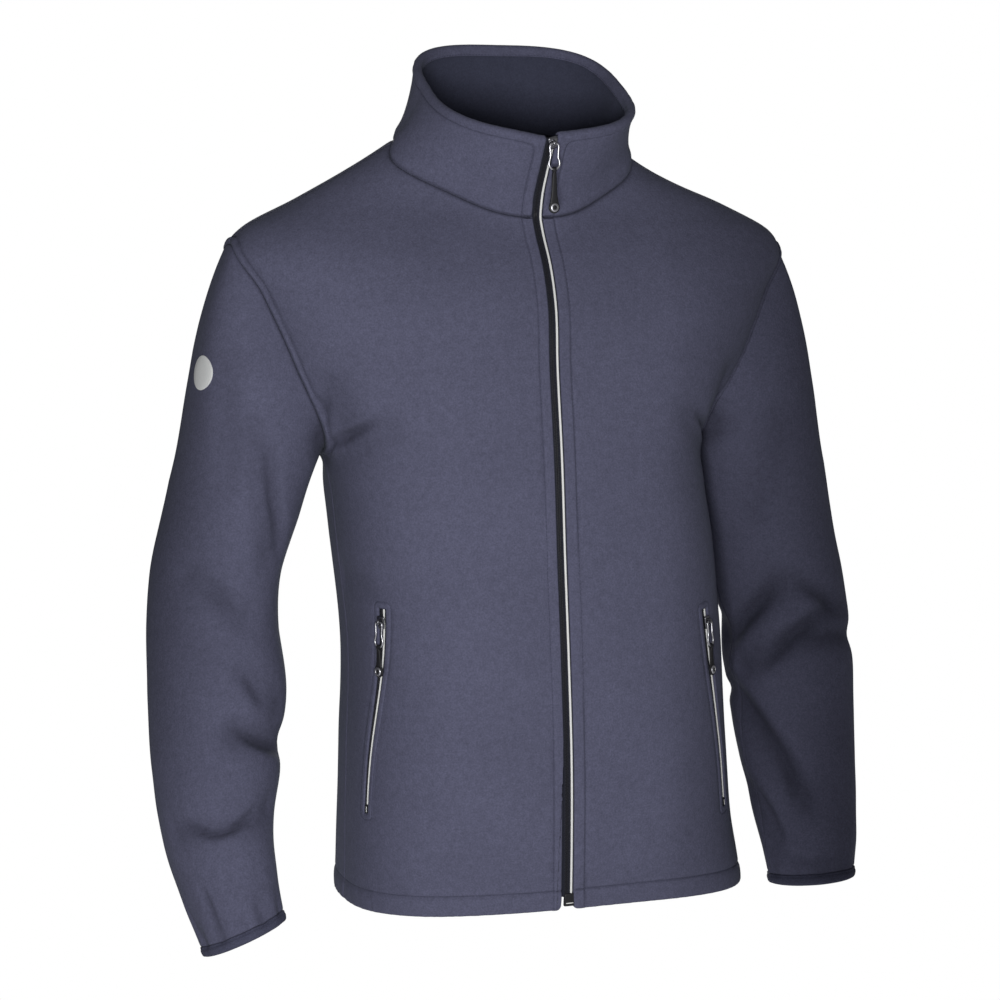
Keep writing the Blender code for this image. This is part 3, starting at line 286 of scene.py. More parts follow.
# The cloth bridges the corner at the neck seam: by how much, how far from it and how wide.
NECK_FILL, NECK_FILL_REACH, NECK_FILL_SIDEWAYS = 0.0075, 0.030, 0.060
STRIP_SOFT = 15       # millimetres either way over which a zip evens out its line
BODY_WAVE, SLEEVE_WAVE = (0.0011, 0.11), (0.0013, 0.085)     # height and size of slow unevenness
CUFF_GIRTH, GATHER_EASED = 0.24, 0.75    # gathers are this much flatter in the binding
COLLAR_BULGE = (0.0014, 0.010, 0.0065)     # height, and its middle and width up the collar
ARMPIT_SHADE, ARMPIT_REACH, ARMPIT_TURN = 0.018, 0.020, 0.08     # painted shade round an armpit: how dark, how far, and the turn of its middle on a sleeve
CREASE_END, RIDGE = 0.10, 0.8      # depth left at a crease's ends, and the ridge beside it
FOLD_SHADE = {"front": 0.8, "back": 0.15, "sleeve": 0.9}         # share of a fold's depth kept as painted shade
# The cuff binding: how far it stands up at its edges and its middle, wall, and stitches' row.
BINDING_PROUD, BINDING_BULGE, BINDING_WALL, BINDING_STITCH = 0.0003, 0.0009, 0.0028, 0.0024
BINDING_SUNK = (0.0006, 0.0007)     # how deep and wide the binding's stitches sink
ROLL_STEPS, TURN_IN_STEPS = 12, 5   # rows over the collar's roll and down inside it
ROLL_THINNEST, COLLAR_TUCK, CURL_INSIDE = 0.0003, 0.0002, 0.2

MM = 0.001
# The zips, across in millimetres from a slit's right-hand edge and above the cloth.
ZIP_WIDTH = 11.5
ZIP_OVERLAP, OVERLAP_REACH = 0.0019, 0.014   # of the wearer's left edge, in metres
TAPE_PROFILE = ((-4.0, -2.6), (-0.3, -2.6), (0.5, -1.5), (1.0, -1.3), (10.5, -1.3), (11.0, -1.5),
                (11.8, -2.6), (15.5, -2.6), (15.5, -3.0), (11.6, -3.0), (10.6, -1.9), (0.9, -1.9),
                (-0.1, -3.0), (-4.0, -3.0))
TAPE_PAST_CHAIN, COIL_ENDS, BAND_STEP = 0.004, (0.0004, 0.001), 0.002
COIL_PITCH = 1.4
COIL_ROWS = ((0.9, 3.3, 0.0), (2.7, 5.1, 0.5))
COIL_RADII = (0.30, 0.42, 0.46, 0.42, 0.30)
COIL_HEIGHTS = (-1.35, -0.85, -0.70, -0.85, -1.35)
PIPING_MIDDLE, PIPING_HALF, PIPING_TOP, PIPING_FOOT = 7.6, 1.02, -0.05, -1.2
SLIDER_FROM_TOP = {"front_zip": 0.002, "right_pocket": 0.012, "left_pocket": 0.012}
SLIDER_HALF_THICK, HINGE_LIFT, BAIL_ABOVE_MIDDLE, BAIL_LIFT = 0.0013, 0.00135, 0.001, 0.0008
BAIL_RADIUS, BAIL_ROD, BAIL_WIDE, BAIL_SUNK = 0.0024, 0.0005, 2.4, 0.6    # the last in radians
# A slider's sections in millimetres: height, half width, and its back and front faces.
SLIDER_SECTIONS = ((-6.0, 2.4, -0.7, 0.5), (-5.6, 3.2, -1.1, 0.9), (-3.5, 3.7, -1.3, 1.2),
                   (-0.5, 3.9, -1.3, 1.3), (2.0, 4.4, -1.3, 1.3), (4.2, 4.6, -1.3, 1.3),
                   (5.4, 4.3, -1.2, 1.1), (5.95, 3.4, -0.8, 0.6))
WIRE_SHAPE = ((4.2, 0.0), (4.0, -6.0), (3.4, -12.5), (5.0, -16.0), (5.0, -19.5), (3.0, -22.2),
              (0.0, -23.0))
WIRE_RADIUS = 0.92
# A puller's sections: share of the way down to its round end, half width, half thickness.
TAB_SECTIONS = ((0.045, 1.3, 1.5), (0.09, 1.7, 1.9), (0.14, 1.9, 1.6), (0.22, 2.2, 1.35),
                (0.45, 2.4, 1.25), (0.60, 2.65, 1.2), (0.72, 3.15, 1.2), (0.82, 3.8, 1.2))
# Its round end: radius, span in radians, and its half thickness, the turn from which that
# shrinks and what is left of it.
TAB_END_RADIUS, TAB_END_SPAN, TAB_END_DEEP = 5.2, (-0.65, 1.50), (1.3, 0.9, 0.1)
STUD_ABOVE_END, TAB_POWER = 4.0, 3.2
TAB_LENGTH = {"front_zip": 37.5, "right_pocket": 26.0, "left_pocket": 26.0}
EYE_RING = (1.95, 0.55, 3.1)     # middle radius, half thickness, and how much it is drawn wide
STUD = ((3.9, 1.1), (4.0, 1.5), (3.7, 2.0), (3.0, 2.4), (2.4, 2.35), (2.1, 1.9))
STUD_CENTRE = ((2.0, 1.8), (1.9, 2.1), (1.3, 2.3), (0.3, 2.35))
RETAINER_SECTIONS = ((-6.0, 4.4, -1.2, 1.2), (-5.6, 5.0, -1.6, 1.6), (-1.0, 5.1, -1.7, 1.7),
                     (3.0, 5.0, -1.7, 1.7), (5.2, 4.8, -1.6, 1.5), (6.0, 4.2, -1.2, 1.0))
RETAINER_ALONG, RETAINER_HEIGHT, RETAINER_POWER = 0.0045, -0.7, 7.0
# Small bars: span along in metres, across and above in millimetres, and finish.
BARS = {
    "box_line": ((0.0012, 0.0020), (2.2, 9.4), (0.4, 1.3), "piping"),
    "stop": ((0.0002, 0.0082), (1.0, 10.5), (-1.5, 0.1), "puller"),
    "stop_line": ((0.0012, 0.0064), (6.0, 7.9), (-0.6, 0.35), "piping"),
}
BAR_ENDS = ((0.0, 0.80), (0.06, 0.95), (0.15, 1.0), (0.85, 1.0), (0.94, 0.95), (1.0, 0.80))
FRONT_CHAIN, POCKET_CHAIN = (0.0110, 0.0010), (0.0086, 0.0004)   # clear of a zip's ends
BADGE_AT, BADGE_RADIUS, BADGE_RAY = (-0.296, -0.0082, -0.2055), 0.0155, 0.02
BADGE_BEND = 0.6                # a stiff disc bends less than the cloth under it
# The badge's rings: share of its radius, and millimetres above the cloth.
BADGE_RINGS = ((1.0, -1.5), (1.0, 0.2), (0.97, 0.4), (0.6, 0.4), (0.3, 0.4), (0.02, 0.4))
FLEECE_COLOUR = (0.0700, 0.0715, 0.1130)
# The collar's inside: a darker copy of the fleece, as painted shade where little light reaches.
SHADED_INSIDE_COLOUR, INSIDE_NAP = (0.0340, 0.0365, 0.0590), 0.7
NOISE_SPAN = (0.30, 0.70)                   # the part of a noise that a finish uses
PAINTED_SHADE_FULL, PAINTED_SHADE_TONE = 0.010, 0.56      # depth at which the painted shade is darkest, and its tone
# The other finishes: colour, roughness, metallic, swing and scale of the grain, depth of bumps.
PLAIN_FINISHES = {
    "binding": ((0.043, 0.045, 0.075), 0.90, 0.0, 0.25, 900, 0.0003),
    "tape": ((0.011, 0.012, 0.020), 0.80, 0.0, 0.25, 1400, 0.0001),
    "coil": ((0.014, 0.014, 0.018), 0.42, 0.0, 0.10, 900),
    "piping": ((0.60, 0.60, 0.59), 0.50, 0.0, 0.04, 900),
    "metal": ((0.20, 0.20, 0.22), 0.28, 1.0, 0.05, 500),
    "wire": ((0.46, 0.46, 0.49), 0.36, 1.0, 0.04, 500),
    "puller": ((0.012, 0.012, 0.014), 0.50, 0.0, 0.10, 500),
    "thread": ((0.042, 0.044, 0.075), 0.80, 0.0, 0.15, 2500),
    "badge": ((0.60, 0.61, 0.61), 0.50, 0.0, 0.06, 1500),
    "card": ((0.01, 0.01, 0.01), 0.90),
    "floor": ((0.92, 0.92, 0.92), 0.90),
}

# The camera, and the lights: turn and height in degrees, distance, power and size.
AIM = Vector((-0.012, 0, -0.335))
CAMERA_AT, CAMERA_DISTANCE, CAMERA_SCALE = (-19, 8.5), 3.1, 1.080
LIGHTS = ((-20, 4, 2.2, 42, 0.55), (161, 8, 2.6, 42, 1.5))
ROOM_LIGHT = 0.20
FLOOR, FLOOR_Z = 30, -1.45
# Black cards keep part of the first light off the sleeves: inner edge as x and y, width square
# to that light, and lowest and highest point.
CARDS = ((-0.036, -0.592, 0.6, -1.1, -0.08), (-0.450, -0.511, -0.6, -0.45, -0.02))


# ---------------------------------------------------------------- small helpers
def unit(vectors):
    return vectors / np.maximum(np.linalg.norm(vectors, axis=-1, keepdims=True), 1e-12)


def smooth(t):
    t = np.clip(t, 0, 1)
    return t * t * (3 - 2 * t)


def bell(distance, width):
    return np.exp(-(distance / width) ** 2)


def bulge(share):
    """A full swell between two seams."""
    return np.sin(math.pi * share) ** 0.7


def round_again(line):
    """A line with its first point again at its end."""
    return np.concatenate([line, line[:1]])


# ---------------------------------------------------------------- tables and grids
def read_rows(table, key):
    """Smooth values of a table's other columns at a value of its first one."""
    keys, values = table[:, 0], table[:, 1:]
    slopes = np.gradient(values, keys, axis=0)
    key = np.clip(np.asarray(key, float), keys[0], keys[-1])
    low = np.clip(np.searchsorted(keys, key) - 1, 0, len(keys) - 2)
    step = (keys[low + 1] - keys[low])[..., None]
    t = (key - keys[low])[..., None] / step
    return ((1 + 2 * t) * (1 - t) ** 2 * values[low] + t * (1 - t) ** 2 * step * slopes[low]
            + t * t * (3 - 2 * t) * values[low + 1] + t * t * (t - 1) * step * slopes[low + 1])


def body_point(side, panel, phi, z):
    """Point of the worn body, phi from the centre line (0) to the side line."""
    phi, z = np.broadcast_arrays(np.asarray(phi, float), np.asarray(z, float))
    right, left, front, back, centre_x, centre_y, power = np.moveaxis(read_rows(BODY, z), -1, 0)
    half = left if side > 0 else right
    depth = front if panel == "front" else back
    facing = -1 if panel == "front" else 1
    radius = ((np.abs(np.sin(phi)) / half) ** power
              + (np.abs(np.cos(phi)) / depth) ** power) ** (-1 / power)
    x = centre_x + side * radius * np.sin(phi)
    y = centre_y + facing * radius * np.cos(phi)
    above = np.clip((z - ARMPIT_Z) / (TIP_Z - ARMPIT_Z), 0, 1)
    return np.stack([x, y, z - SHOULDER_LEAN * x * above], -1)


def hem_edge(across, side):
    phi = across * QUARTER
    return phi, HEM_FRONT_Z + (HEM_SIDE_Z[side] - HEM_FRONT_Z) * np.sin(phi) ** 4


def neck_and_shoulder_edge(across, panel):
    phi = np.clip(across / NECK_SHARE, 0, 1) * QUARTER
    rise = 1 - np.cos(phi) if panel == "front" else np.sin(phi) ** 2
    neck_z = NECK_Z[panel] + (NECK_SIDE_Z - NECK_Z[panel]) * rise ** NECK_EASE
    down = np.clip((across - NECK_SHARE) / (1 - NECK_SHARE), 0, 1)
    return phi, np.where(across <= NECK_SHARE, neck_z, NECK_SIDE_Z + (TIP_Z - NECK_SIDE_Z) * down)


def side_edge(up, panel, side):
    """The side seam, then the armhole, which bows in from the shoulder tip to the armpit."""
    seam = np.clip(up / SIDE_SHARE, 0, 1)
    hole = np.clip((up - SIDE_SHARE) / (1 - SIDE_SHARE), 0, 1)
    seam_z = HEM_SIDE_Z[side] + (ARMPIT_Z - HEM_SIDE_Z[side]) * seam
    hole_z = ARMPIT_Z + (TIP_Z - ARMPIT_Z) * (1 - np.cos(math.pi * hole)) / 2
    bow = ARMHOLE_BOW[panel] * np.abs(np.sin(math.pi * hole ** ARMHOLE_EASE))
    return QUARTER - bow, np.where(up <= SIDE_SHARE, seam_z, hole_z)


def centre_edge(up, panel, half_gap):
    z = HEM_FRONT_Z + (NECK_Z[panel] - HEM_FRONT_Z) * up
    depth = read_rows(BODY, z)[..., BODY_COLUMNS.index(panel) - 1]
    return np.arcsin(half_gap / depth), z


def panel_grid(side, panel, across, up, half_gap):
    """Rows from the hem up, columns from the centre line to the side."""
    ends = np.array([0.0, 1.0])
    left, right = centre_edge(up, panel, half_gap), side_edge(up, panel, side)
    start = centre_edge(ends, panel, half_gap)[0]
    low, high = hem_edge(across, side), neck_and_shoulder_edge(across, panel)
    low = (start[0] + low[0] * (1 - start[0] / QUARTER), low[1])
    high = (start[1] + high[0] * (1 - start[1] / QUARTER), high[1])
    weight = np.clip((up - COLUMNS_SETTLE) / (1 - COLUMNS_SETTLE), 0, 1) ** COLUMNS_EASE
    cross, rise, blend = across[None, :], up[:, None], weight[:, None]
    grid = []
    for c in range(2):
        sides = (1 - cross) * left[c][:, None] + cross * right[c][:, None]
        low_share = low[c][None, :] - ((1 - cross) * low[c][0] + cross * low[c][-1])
        high_share = high[c][None, :] - ((1 - cross) * high[c][0] + cross * high[c][-1])
        grid.append(sides + (1 - blend) * low_share + blend * high_share)
    middle = (POCKET_LOW + POCKET_HIGH) / 2
    near = bell(rise - middle, POCKET_SPREAD) * np.clip(rise / POCKET_STARTS, 0, 1)
    near = near * np.sin(math.pi * cross) * (panel == "front")
    phi = grid[0] - POCKET_SLANT[side] * (rise - middle) * near
    return body_point(side, panel, phi, grid[1] + POCKET_LIFT[side] * near)


def sleeve_ring(side, share, turn):
    """Point on the arm of a sleeve, and the direction down the sleeve there."""
    row = read_rows(SLEEVE[side], share)
    ahead = read_rows(SLEEVE[side], np.minimum(share + AIM_STEP, 1.0))[..., :3]
    behind = read_rows(SLEEVE[side], np.maximum(share - AIM_STEP, 0.0))[..., :3]
    down = (ahead - behind) / np.linalg.norm(ahead - behind, axis=-1, keepdims=True)
    late = smooth((share - CUFF_TURN_FROM) / (1 - CUFF_TURN_FROM))[..., None]
    face = unit(down + late * (np.array(CUFF_FACES[side]) - down))
    outward = unit(np.array([side, 0.0, 0.0]) - face * face[..., :1] * side)
    forward = side * np.cross(face, outward)
    angle = 2 * math.pi * turn[..., None]
    return (row[..., :3] - outward * np.cos(angle) * row[..., 3:4]
            + forward * np.sin(angle) * row[..., 4:5]), down


def sleeve_grid(side, armhole, turn, cap_shares, arm_shares, band):
    """Rows from the armhole down, columns round the arm from under it by the front.

    arm_shares run down to the cuff binding, band from there to the end.
    """
    ring, down = sleeve_ring(side, np.zeros(len(armhole)), turn)
    span = np.linalg.norm(ring - armhole, axis=1)[:, None]
    out, forward, fall = CAP_LEAVE
    leave = np.array([[side * out, -forward * s, fall] for s in np.sin(2 * math.pi * turn)])
    rows = []
    for t in cap_shares:
        rows.append((1 + 2 * t) * (1 - t) ** 2 * armhole + t * t * (3 - 2 * t) * ring
                    + (CAP_FULLNESS * t * (1 - t) ** 2 * leave + t * t * (t - 1) * down) * span)
    arm = np.array([sleeve_ring(side, np.full(len(turn), share), turn)[0]
                    for share in np.linspace(0, 1, ARM_SAMPLES)])
    step = np.linalg.norm(np.diff(arm, axis=0), axis=2)
    run = np.concatenate([np.zeros((1, len(turn))), np.cumsum(step, axis=0)])
    upper = run[-1] - CUFF_BINDING
    marks = np.concatenate([arm_shares[1:, None] * upper, upper + band[1:, None] * CUFF_BINDING])
    for mark in marks:
        rows.append([[np.interp(mark[c], run[:, c], arm[:, c, k]) for k in range(3)]
                     for c in range(len(turn))])
    return np.array(rows)


def collar_top(side, phi):
    """Top edge of the collar, phi from the centre front (0) to the centre back."""
    top = COLLAR_TOP
    power = np.where(phi < QUARTER, top["front_power"], top["back_power"])
    radius = ((np.abs(np.sin(phi)) / top["half"]) ** power
              + (np.abs(np.cos(phi)) / top["deep"]) ** power) ** (-1 / power)
    ahead = np.maximum(np.cos(phi), 0)
    sideways = np.sin(np.minimum(phi, QUARTER)) * top["centre_x"] + COLLAR_FRONT[0] * ahead
    y = -radius * np.cos(phi)
    z = top["front_z"] + (top["back_z"] - top["front_z"]) * (y / top["deep"] + 1) / 2
    z = z - COLLAR_DIP[side] * bell(phi, COLLAR_DIP_SPREAD)
    x = sideways + side * radius * np.sin(phi)
    z = z - COLLAR_LEAN * x * (1 - ahead)
    return np.stack([x, y + top["centre_y"] + COLLAR_FRONT[1] * ahead, z], -1)


def places(length, stops, zones):
    """Shares of a length: every stop, fine steps inside the zones and coarse ones between."""
    marks = sorted({0.0, length, *stops, *(end for zone in zones for end in zone)})
    found = [0.0]
    for start, end in zip(marks, marks[1:]):
        middle = (start + end) / 2
        step = FINE if any(low <= middle <= high for low, high in zones) else COARSE
        count = max(1, math.ceil((end - start) / step - 1e-6))
        found.extend(np.linspace(start, end, count + 1)[1:])
    return np.array(found) / length


def lines_across(side, panel):
    zones = [(PANEL_WIDTH - SEAM_ZONE, PANEL_WIDTH)]
    if panel == "back":
        return places(PANEL_WIDTH, [NECK_SHARE * PANEL_WIDTH], zones)
    slot = [(POCKET_ACROSS[side] + k * POCKET_HALF_ACROSS) * PANEL_WIDTH for k in (-1, 1)]
    zones += [(0, EDGE_ZONE), (slot[0] - SLOT_ZONE, slot[1] + SLOT_ZONE)]
    return places(PANEL_WIDTH, [*slot, NECK_SHARE * PANEL_WIDTH], zones)


def lines_up():
    stops = [HEM_DEPTH, *(share * PANEL_HEIGHT for share in (POCKET_LOW, POCKET_HIGH, SIDE_SHARE))]
    zones = [(stop - below, stop + above) for stop, (below, above) in zip(stops, ROW_ZONES)]
    zones += [(0, HEM_EDGE_ZONE), (PANEL_HEIGHT - SEAM_ZONE, PANEL_HEIGHT)]
    return places(PANEL_HEIGHT, stops, zones)


def index_of(shares, share):
    return int(np.argmin(np.abs(shares - share)))


# ---------------------------------------------------------------- measuring a skin
def grid_normals(grid, closed):
    points = np.concatenate([grid, grid[:, :1]], axis=1) if closed else grid
    face = np.cross(points[1:, 1:] - points[:-1, :-1], points[1:, :-1] - points[:-1, 1:])
    total = np.zeros_like(points)
    for rows in (slice(None, -1), slice(1, None)):
        for columns in (slice(None, -1), slice(1, None)):
            total[rows, columns] += face
    if closed:
        total[:, 0] += total[:, -1]
        total = total[:, :-1]
    return unit(total)


def distance_to_line(points, line):
    """Distance of each point from a run of points, and how far along the run that is."""
    flat = points.reshape(-1, 3)
    start, step = line[:-1], np.diff(line, axis=0)
    length = np.maximum(np.linalg.norm(step, axis=1), 1e-9)
    run = np.concatenate([[0.0], np.cumsum(length)[:-1]])
    distance, along = np.empty(len(flat)), np.empty(len(flat))
    for first in range(0, len(flat), 4000):
        some = flat[first:first + 4000, None, :] - start
        t = np.clip((some * step).sum(-1) / length ** 2, 0, 1)
        away = np.linalg.norm(some - t[..., None] * step, axis=-1)
        best = away.argmin(1)
        rows = np.arange(len(best))
        distance[first:first + 4000] = away[rows, best]
        along[first:first + 4000] = run[best] + t[rows, best] * length[best]
    return distance.reshape(points.shape[:-1]), along.reshape(points.shape[:-1])


def segment_distance(u, v, start, end):
    along = np.subtract(end, start)
    t = ((u - start[0]) * along[0] + (v - start[1]) * along[1]) / (along @ along)
    t = np.clip(t, 0, 1)
    return np.hypot(u - start[0] - t * along[0], v - start[1] - t * along[1])


# ---------------------------------------------------------------- profiles pressed into a skin
def turned(distance, kind):
    """An edge turned over: it falls by its drop over the last radius, as a quarter round."""
    radius, drop = TURNS[kind]
    t = np.clip(distance / radius, 0, 1)
    return -drop * (1 - np.sqrt(1 - (1 - t) ** 2))


def raised(distance, end, height, soft=0.0015):
    """A band along an edge that stands up to its end, where it falls away."""
    return height * (1 - smooth((distance - end + soft) / soft))


def pucker(along, distance, reach, height, seed):
    """Small uneven waves along a stitched edge, gone at reach."""
    phase = seed * 1.7
    wave = (np.sin(along * 620 + phase + 2 * np.sin(along * 95 + phase))
            + 0.7 * np.sin(along * 370 + 2 * phase) + 0.5 * np.sin(along * 1010 + 3 * phase))
    return height * wave / 2.2 * np.clip(1 - distance / reach, 0, 1)


def undulation(points, height, size):
    """Soft unevenness of hanging cloth, the same where two pieces meet."""
    flat = points.reshape(-1, 3) / size
    wave = [noise.noise(Vector(p)) + 0.4 * noise.noise(Vector(p * 2.3)) for p in flat]
    return np.array(wave).reshape(points.shape[:2]) * height


def folds(u, v, table):
    """Depth of a set of soft wide folds."""
    total = np.zeros(u.shape)
    for row in table:
        fold = dict(zip(FOLD_COLUMNS, row))
        away = segment_distance(u, v, (fold["across1"], fold["z1"]), (fold["across2"], fold["z2"]))
        total += fold["depth"] * bell(away, fold["width"])
    return total


def creases(u, v, table):
    """Depth of a set of creases: troughs with a low ridge beside, fading at both ends."""
    spots = np.stack([u, v, np.zeros_like(u)], -1)
    total = np.zeros(u.shape)
    for width, depth, *line in table:
        points = np.array([(*place, 0.0) for place in line])
        away, along = distance_to_line(spots, points)
        share = along / np.linalg.norm(np.diff(points, axis=0), axis=1).sum()
        fade = CREASE_END + (1 - CREASE_END) * np.sin(math.pi * share) ** 0.8
        t = away / width
        total += depth * fade * (1 - RIDGE * t * t) * bell(t, 1)
    return total


class Skin:
    """The outer face of a cloth piece: its smooth grid, what is pressed into it and its wall.

    lift moves the whole cloth; rise and inner_rise move its outer and inner face alone; slide
    shifts both sideways. crease is shade painted into the finish: folds, seams, stitches, armpit.
    """

    def __init__(self, grid, closed=False):
        self.grid = grid
        self.closed = closed
        shape = grid.shape[:2]
        self.lift, self.rise, self.inner_rise, self.painted_shade = (np.zeros(shape) for _ in range(4))
        self.wall = np.full(shape, WALL)
        self.slide = np.zeros(grid.shape)
        self.normal = grid_normals(grid, closed)
        self.sewn = []

    def press(self, drop, shade):
        """Push the whole cloth in by drop, and keep a share of that as painted shade for the finish."""
        self.grid = self.grid - self.normal * drop[..., None]
        self.painted_shade += drop * shade
        self.normal = grid_normals(self.grid, self.closed)

    def shade(self, distance, kind):
        # Painted shade along a seam, standing in for the shadow in its groove.
        strength, width = SEAM_SHADES[kind]
        self.painted_shade += strength * bell(distance, width)

    def sew(self, kind, distance, along, seed, clear=1.0, rim=None):
        """Detail of a topstitched edge: its raised band, its sunk stitches and its puckers.

        The puckers fade with the distance from the rim, where that isn't the same distance.
        """
        edge = dict(zip(EDGE_COLUMNS, EDGES[kind]))
        self.sewn.append((distance, edge["stitch"]))
        sunk = edge["sunk"] * bell(distance - edge["stitch"], edge["sunk_width"])
        # painted shade in the sunk stitches' grooves
        self.painted_shade += STITCH_SHADE * sunk
        rim = distance if rim is None else rim
        waves = pucker(along, rim, edge["pucker_reach"], edge["pucker"], seed) * clear
        return raised(distance, edge["stitch"], edge["proud"]) - sunk + waves

    def base(self):
        return self.grid + self.normal * self.lift[..., None]

    def outer(self):
        return self.base() + self.slide + self.normal * self.rise[..., None]

    def inner(self):
        return self.base() + self.slide + self.normal * (self.inner_rise - self.wall)[..., None]


# ---------------------------------------------------------------- the body and its seams
def body_parts():
    """Grids of the two fronts and the back, and the runs of points along their seams."""
    up = lines_up()
    hole = index_of(up, SIDE_SHARE)
    grids, seams = {}, {}
    for side in (-1, 1):
        for panel in ("front", "back"):
            across = lines_across(side, panel)
            neck = index_of(across, NECK_SHARE)
            gap = ZIP_GAP_HALF if panel == "front" else 0.0
            grid = panel_grid(side, panel, across, up, gap)
            grids[panel, side] = grid
            seams[panel, side] = {"side": grid[:hole + 1, -1], "armhole": grid[hole:, -1],
                                  "neck": grid[-1, :neck + 1], "shoulder": grid[-1, neck:],
                                  "centre": grid[:, 0], "hem": grid[0]}
    return grids, seams


def pocket_rows():
    up = lines_up()
    return index_of(up, POCKET_LOW), index_of(up, POCKET_HIGH)


def pocket_lines(side):
    """A front's lines at the long edges of its pocket's slit, and the number of its lines."""
    across = lines_across(side, "front")
    near, far = (index_of(across, POCKET_ACROSS[side] + k * POCKET_HALF_ACROSS) for k in (-1, 1))
    return near, far, len(across)


def pocket_columns(side):
    """The same two as columns of the front's skin, which runs from the wearer's right."""
    near, far, count = pocket_lines(side)
    return (near, far) if side > 0 else (count - 1 - far, count - 1 - near)


def pocket_cells(side):
    return {(r, c) for r in range(*pocket_rows()) for c in range(*pocket_columns(side))}


def slit_edge(grid, side):
    """The edge of a pocket's slit, all round it."""
    (low, high), (near, far, _) = pocket_rows(), pocket_lines(side)
    return np.concatenate([grid[low:high, near], grid[high, near:far],
                           grid[low + 1:high + 1, far][::-1], grid[low, near:far + 1][::-1]])


def fold_sleeve(side, skin, turn):
    """Depth of a sleeve's folds and creases, which may run on across its seam."""
    around, height = np.broadcast_to(turn, skin.grid.shape[:2]), skin.grid[..., 2]
    wide = [(turn1 * ARM_GIRTH, z1, turn2 * ARM_GIRTH, z2, width, depth)
            for turn1, z1, turn2, z2, width, depth in SLEEVE_FOLDS[side]]
    fine = [(width, depth, *((at * ARM_GIRTH, z) for at, z in line))
            for width, depth, *line in SLEEVE_CREASES[side]]
    unrolled = [(around + wrap) * ARM_GIRTH for wrap in (-1, 0, 1)]
    return sum(folds(across, height, wide) + creases(across, height, fine) for across in unrolled)


def armpit_shade(points, armpits):
    """Painted shade round an armpit, where gathered cloth lets little light in."""
    return sum(ARMPIT_SHADE * bell(np.linalg.norm(points - armpit, axis=-1), ARMPIT_REACH)
               for armpit in armpits)


def over_zip(grid, normal, edge):
    """The wearer's left edge lies over the zip as far as its piping."""
    across = unit(np.cross(normal, np.gradient(grid, axis=0)))
    return across * (ZIP_OVERLAP * (1 - smooth(edge / OVERLAP_REACH)) * (grid[..., 0] > 0))[..., None]


def neck_fill(points, seam):
    """The cloth bridges the corner between chest and collar, most beside the zip."""
    ahead = bell(points[..., 0], NECK_FILL_SIDEWAYS) * (points[..., 1] < 0)
    return NECK_FILL * ahead * np.clip(1 - seam / NECK_FILL_REACH, 0, 1) ** 2


def body_skin(grid, panel, seams, slit, seed):
    """A front or the back with its folds, seams that dip and topstitched edges."""
    skin = Skin(grid)
    joined = [distance_to_line(grid, one[name])[0]
              for one in seams for name in ("side", "armhole", "shoulder", "neck")]
    seam = np.min(joined, axis=0)
    neck = np.min(joined[3::4], axis=0)
    hem_line = np.concatenate([one["hem"] for one in seams[::-1]])
    hem, hem_along = distance_to_line(grid, hem_line)
    free = np.minimum(seam, hem)
    still = hem
    if panel == "front":
        edge, edge_along = distance_to_line(grid, seams[0]["centre"])
        cut, cut_along = distance_to_line(grid, slit)
        free = np.min([free, edge, cut], axis=0)
        still = np.minimum(edge, cut)
    x, z = grid[..., 0], grid[..., 2]
    drop = folds(x, z, BODY_FOLDS[panel]) * smooth(free / BODY_FOLD_FREE)
    drop += creases(x, z, BODY_CREASES[panel]) * smooth(free / BODY_CREASE_FREE)
    skin.press(drop, FOLD_SHADE[panel])
    skin.lift = undulation(skin.grid, *BODY_WAVE) * smooth(still / STILL) + neck_fill(skin.grid, neck)
    dip_width, dip = NECK_DIP
    skin.rise = turned(seam, "seam") - dip * bell(neck, dip_width)
    skin.shade(seam, "body")
    skin.shade(neck, "neck")
    skin.wall = WALL + (HEM_WALL - WALL) * (1 - smooth((hem - HEM_DEPTH + HEM_STEP) / HEM_STEP))
    hem_turn = turned(hem, "hem")
    detail = skin.sew("hem", hem, hem_along, seed)
    detail += HEM_BULGE * bulge(np.clip(hem / HEM_DEPTH, 0, 1))
    for index, one in enumerate(seams):
        detail += skin.sew("armhole", *distance_to_line(grid, one["armhole"]), seed + index)
    turn_in = -hem_turn
    if panel == "front":
        for kind, near, along, shift in (("zip", edge, edge_along, 3), ("pocket", cut, cut_along, 5)):
            turn = turned(near, "slit")
            detail += skin.sew(kind, near, along, seed + shift, smooth(near / SEAM_CLEAR)) + turn
            turn_in = np.maximum(turn_in, -turn)
        skin.grid[..., 2] -= turned(edge, "hem_corner") * (1 - smooth(hem / HEM_CORNER_RISE))
        skin.slide = over_zip(skin.grid, skin.normal, edge)
    skin.painted_shade += armpit_shade(grid, [one["armhole"][0] for one in seams])
    skin.rise += hem_turn + detail * smooth(seam / SEAM_CLEAR)
    skin.inner_rise += turn_in
    return skin


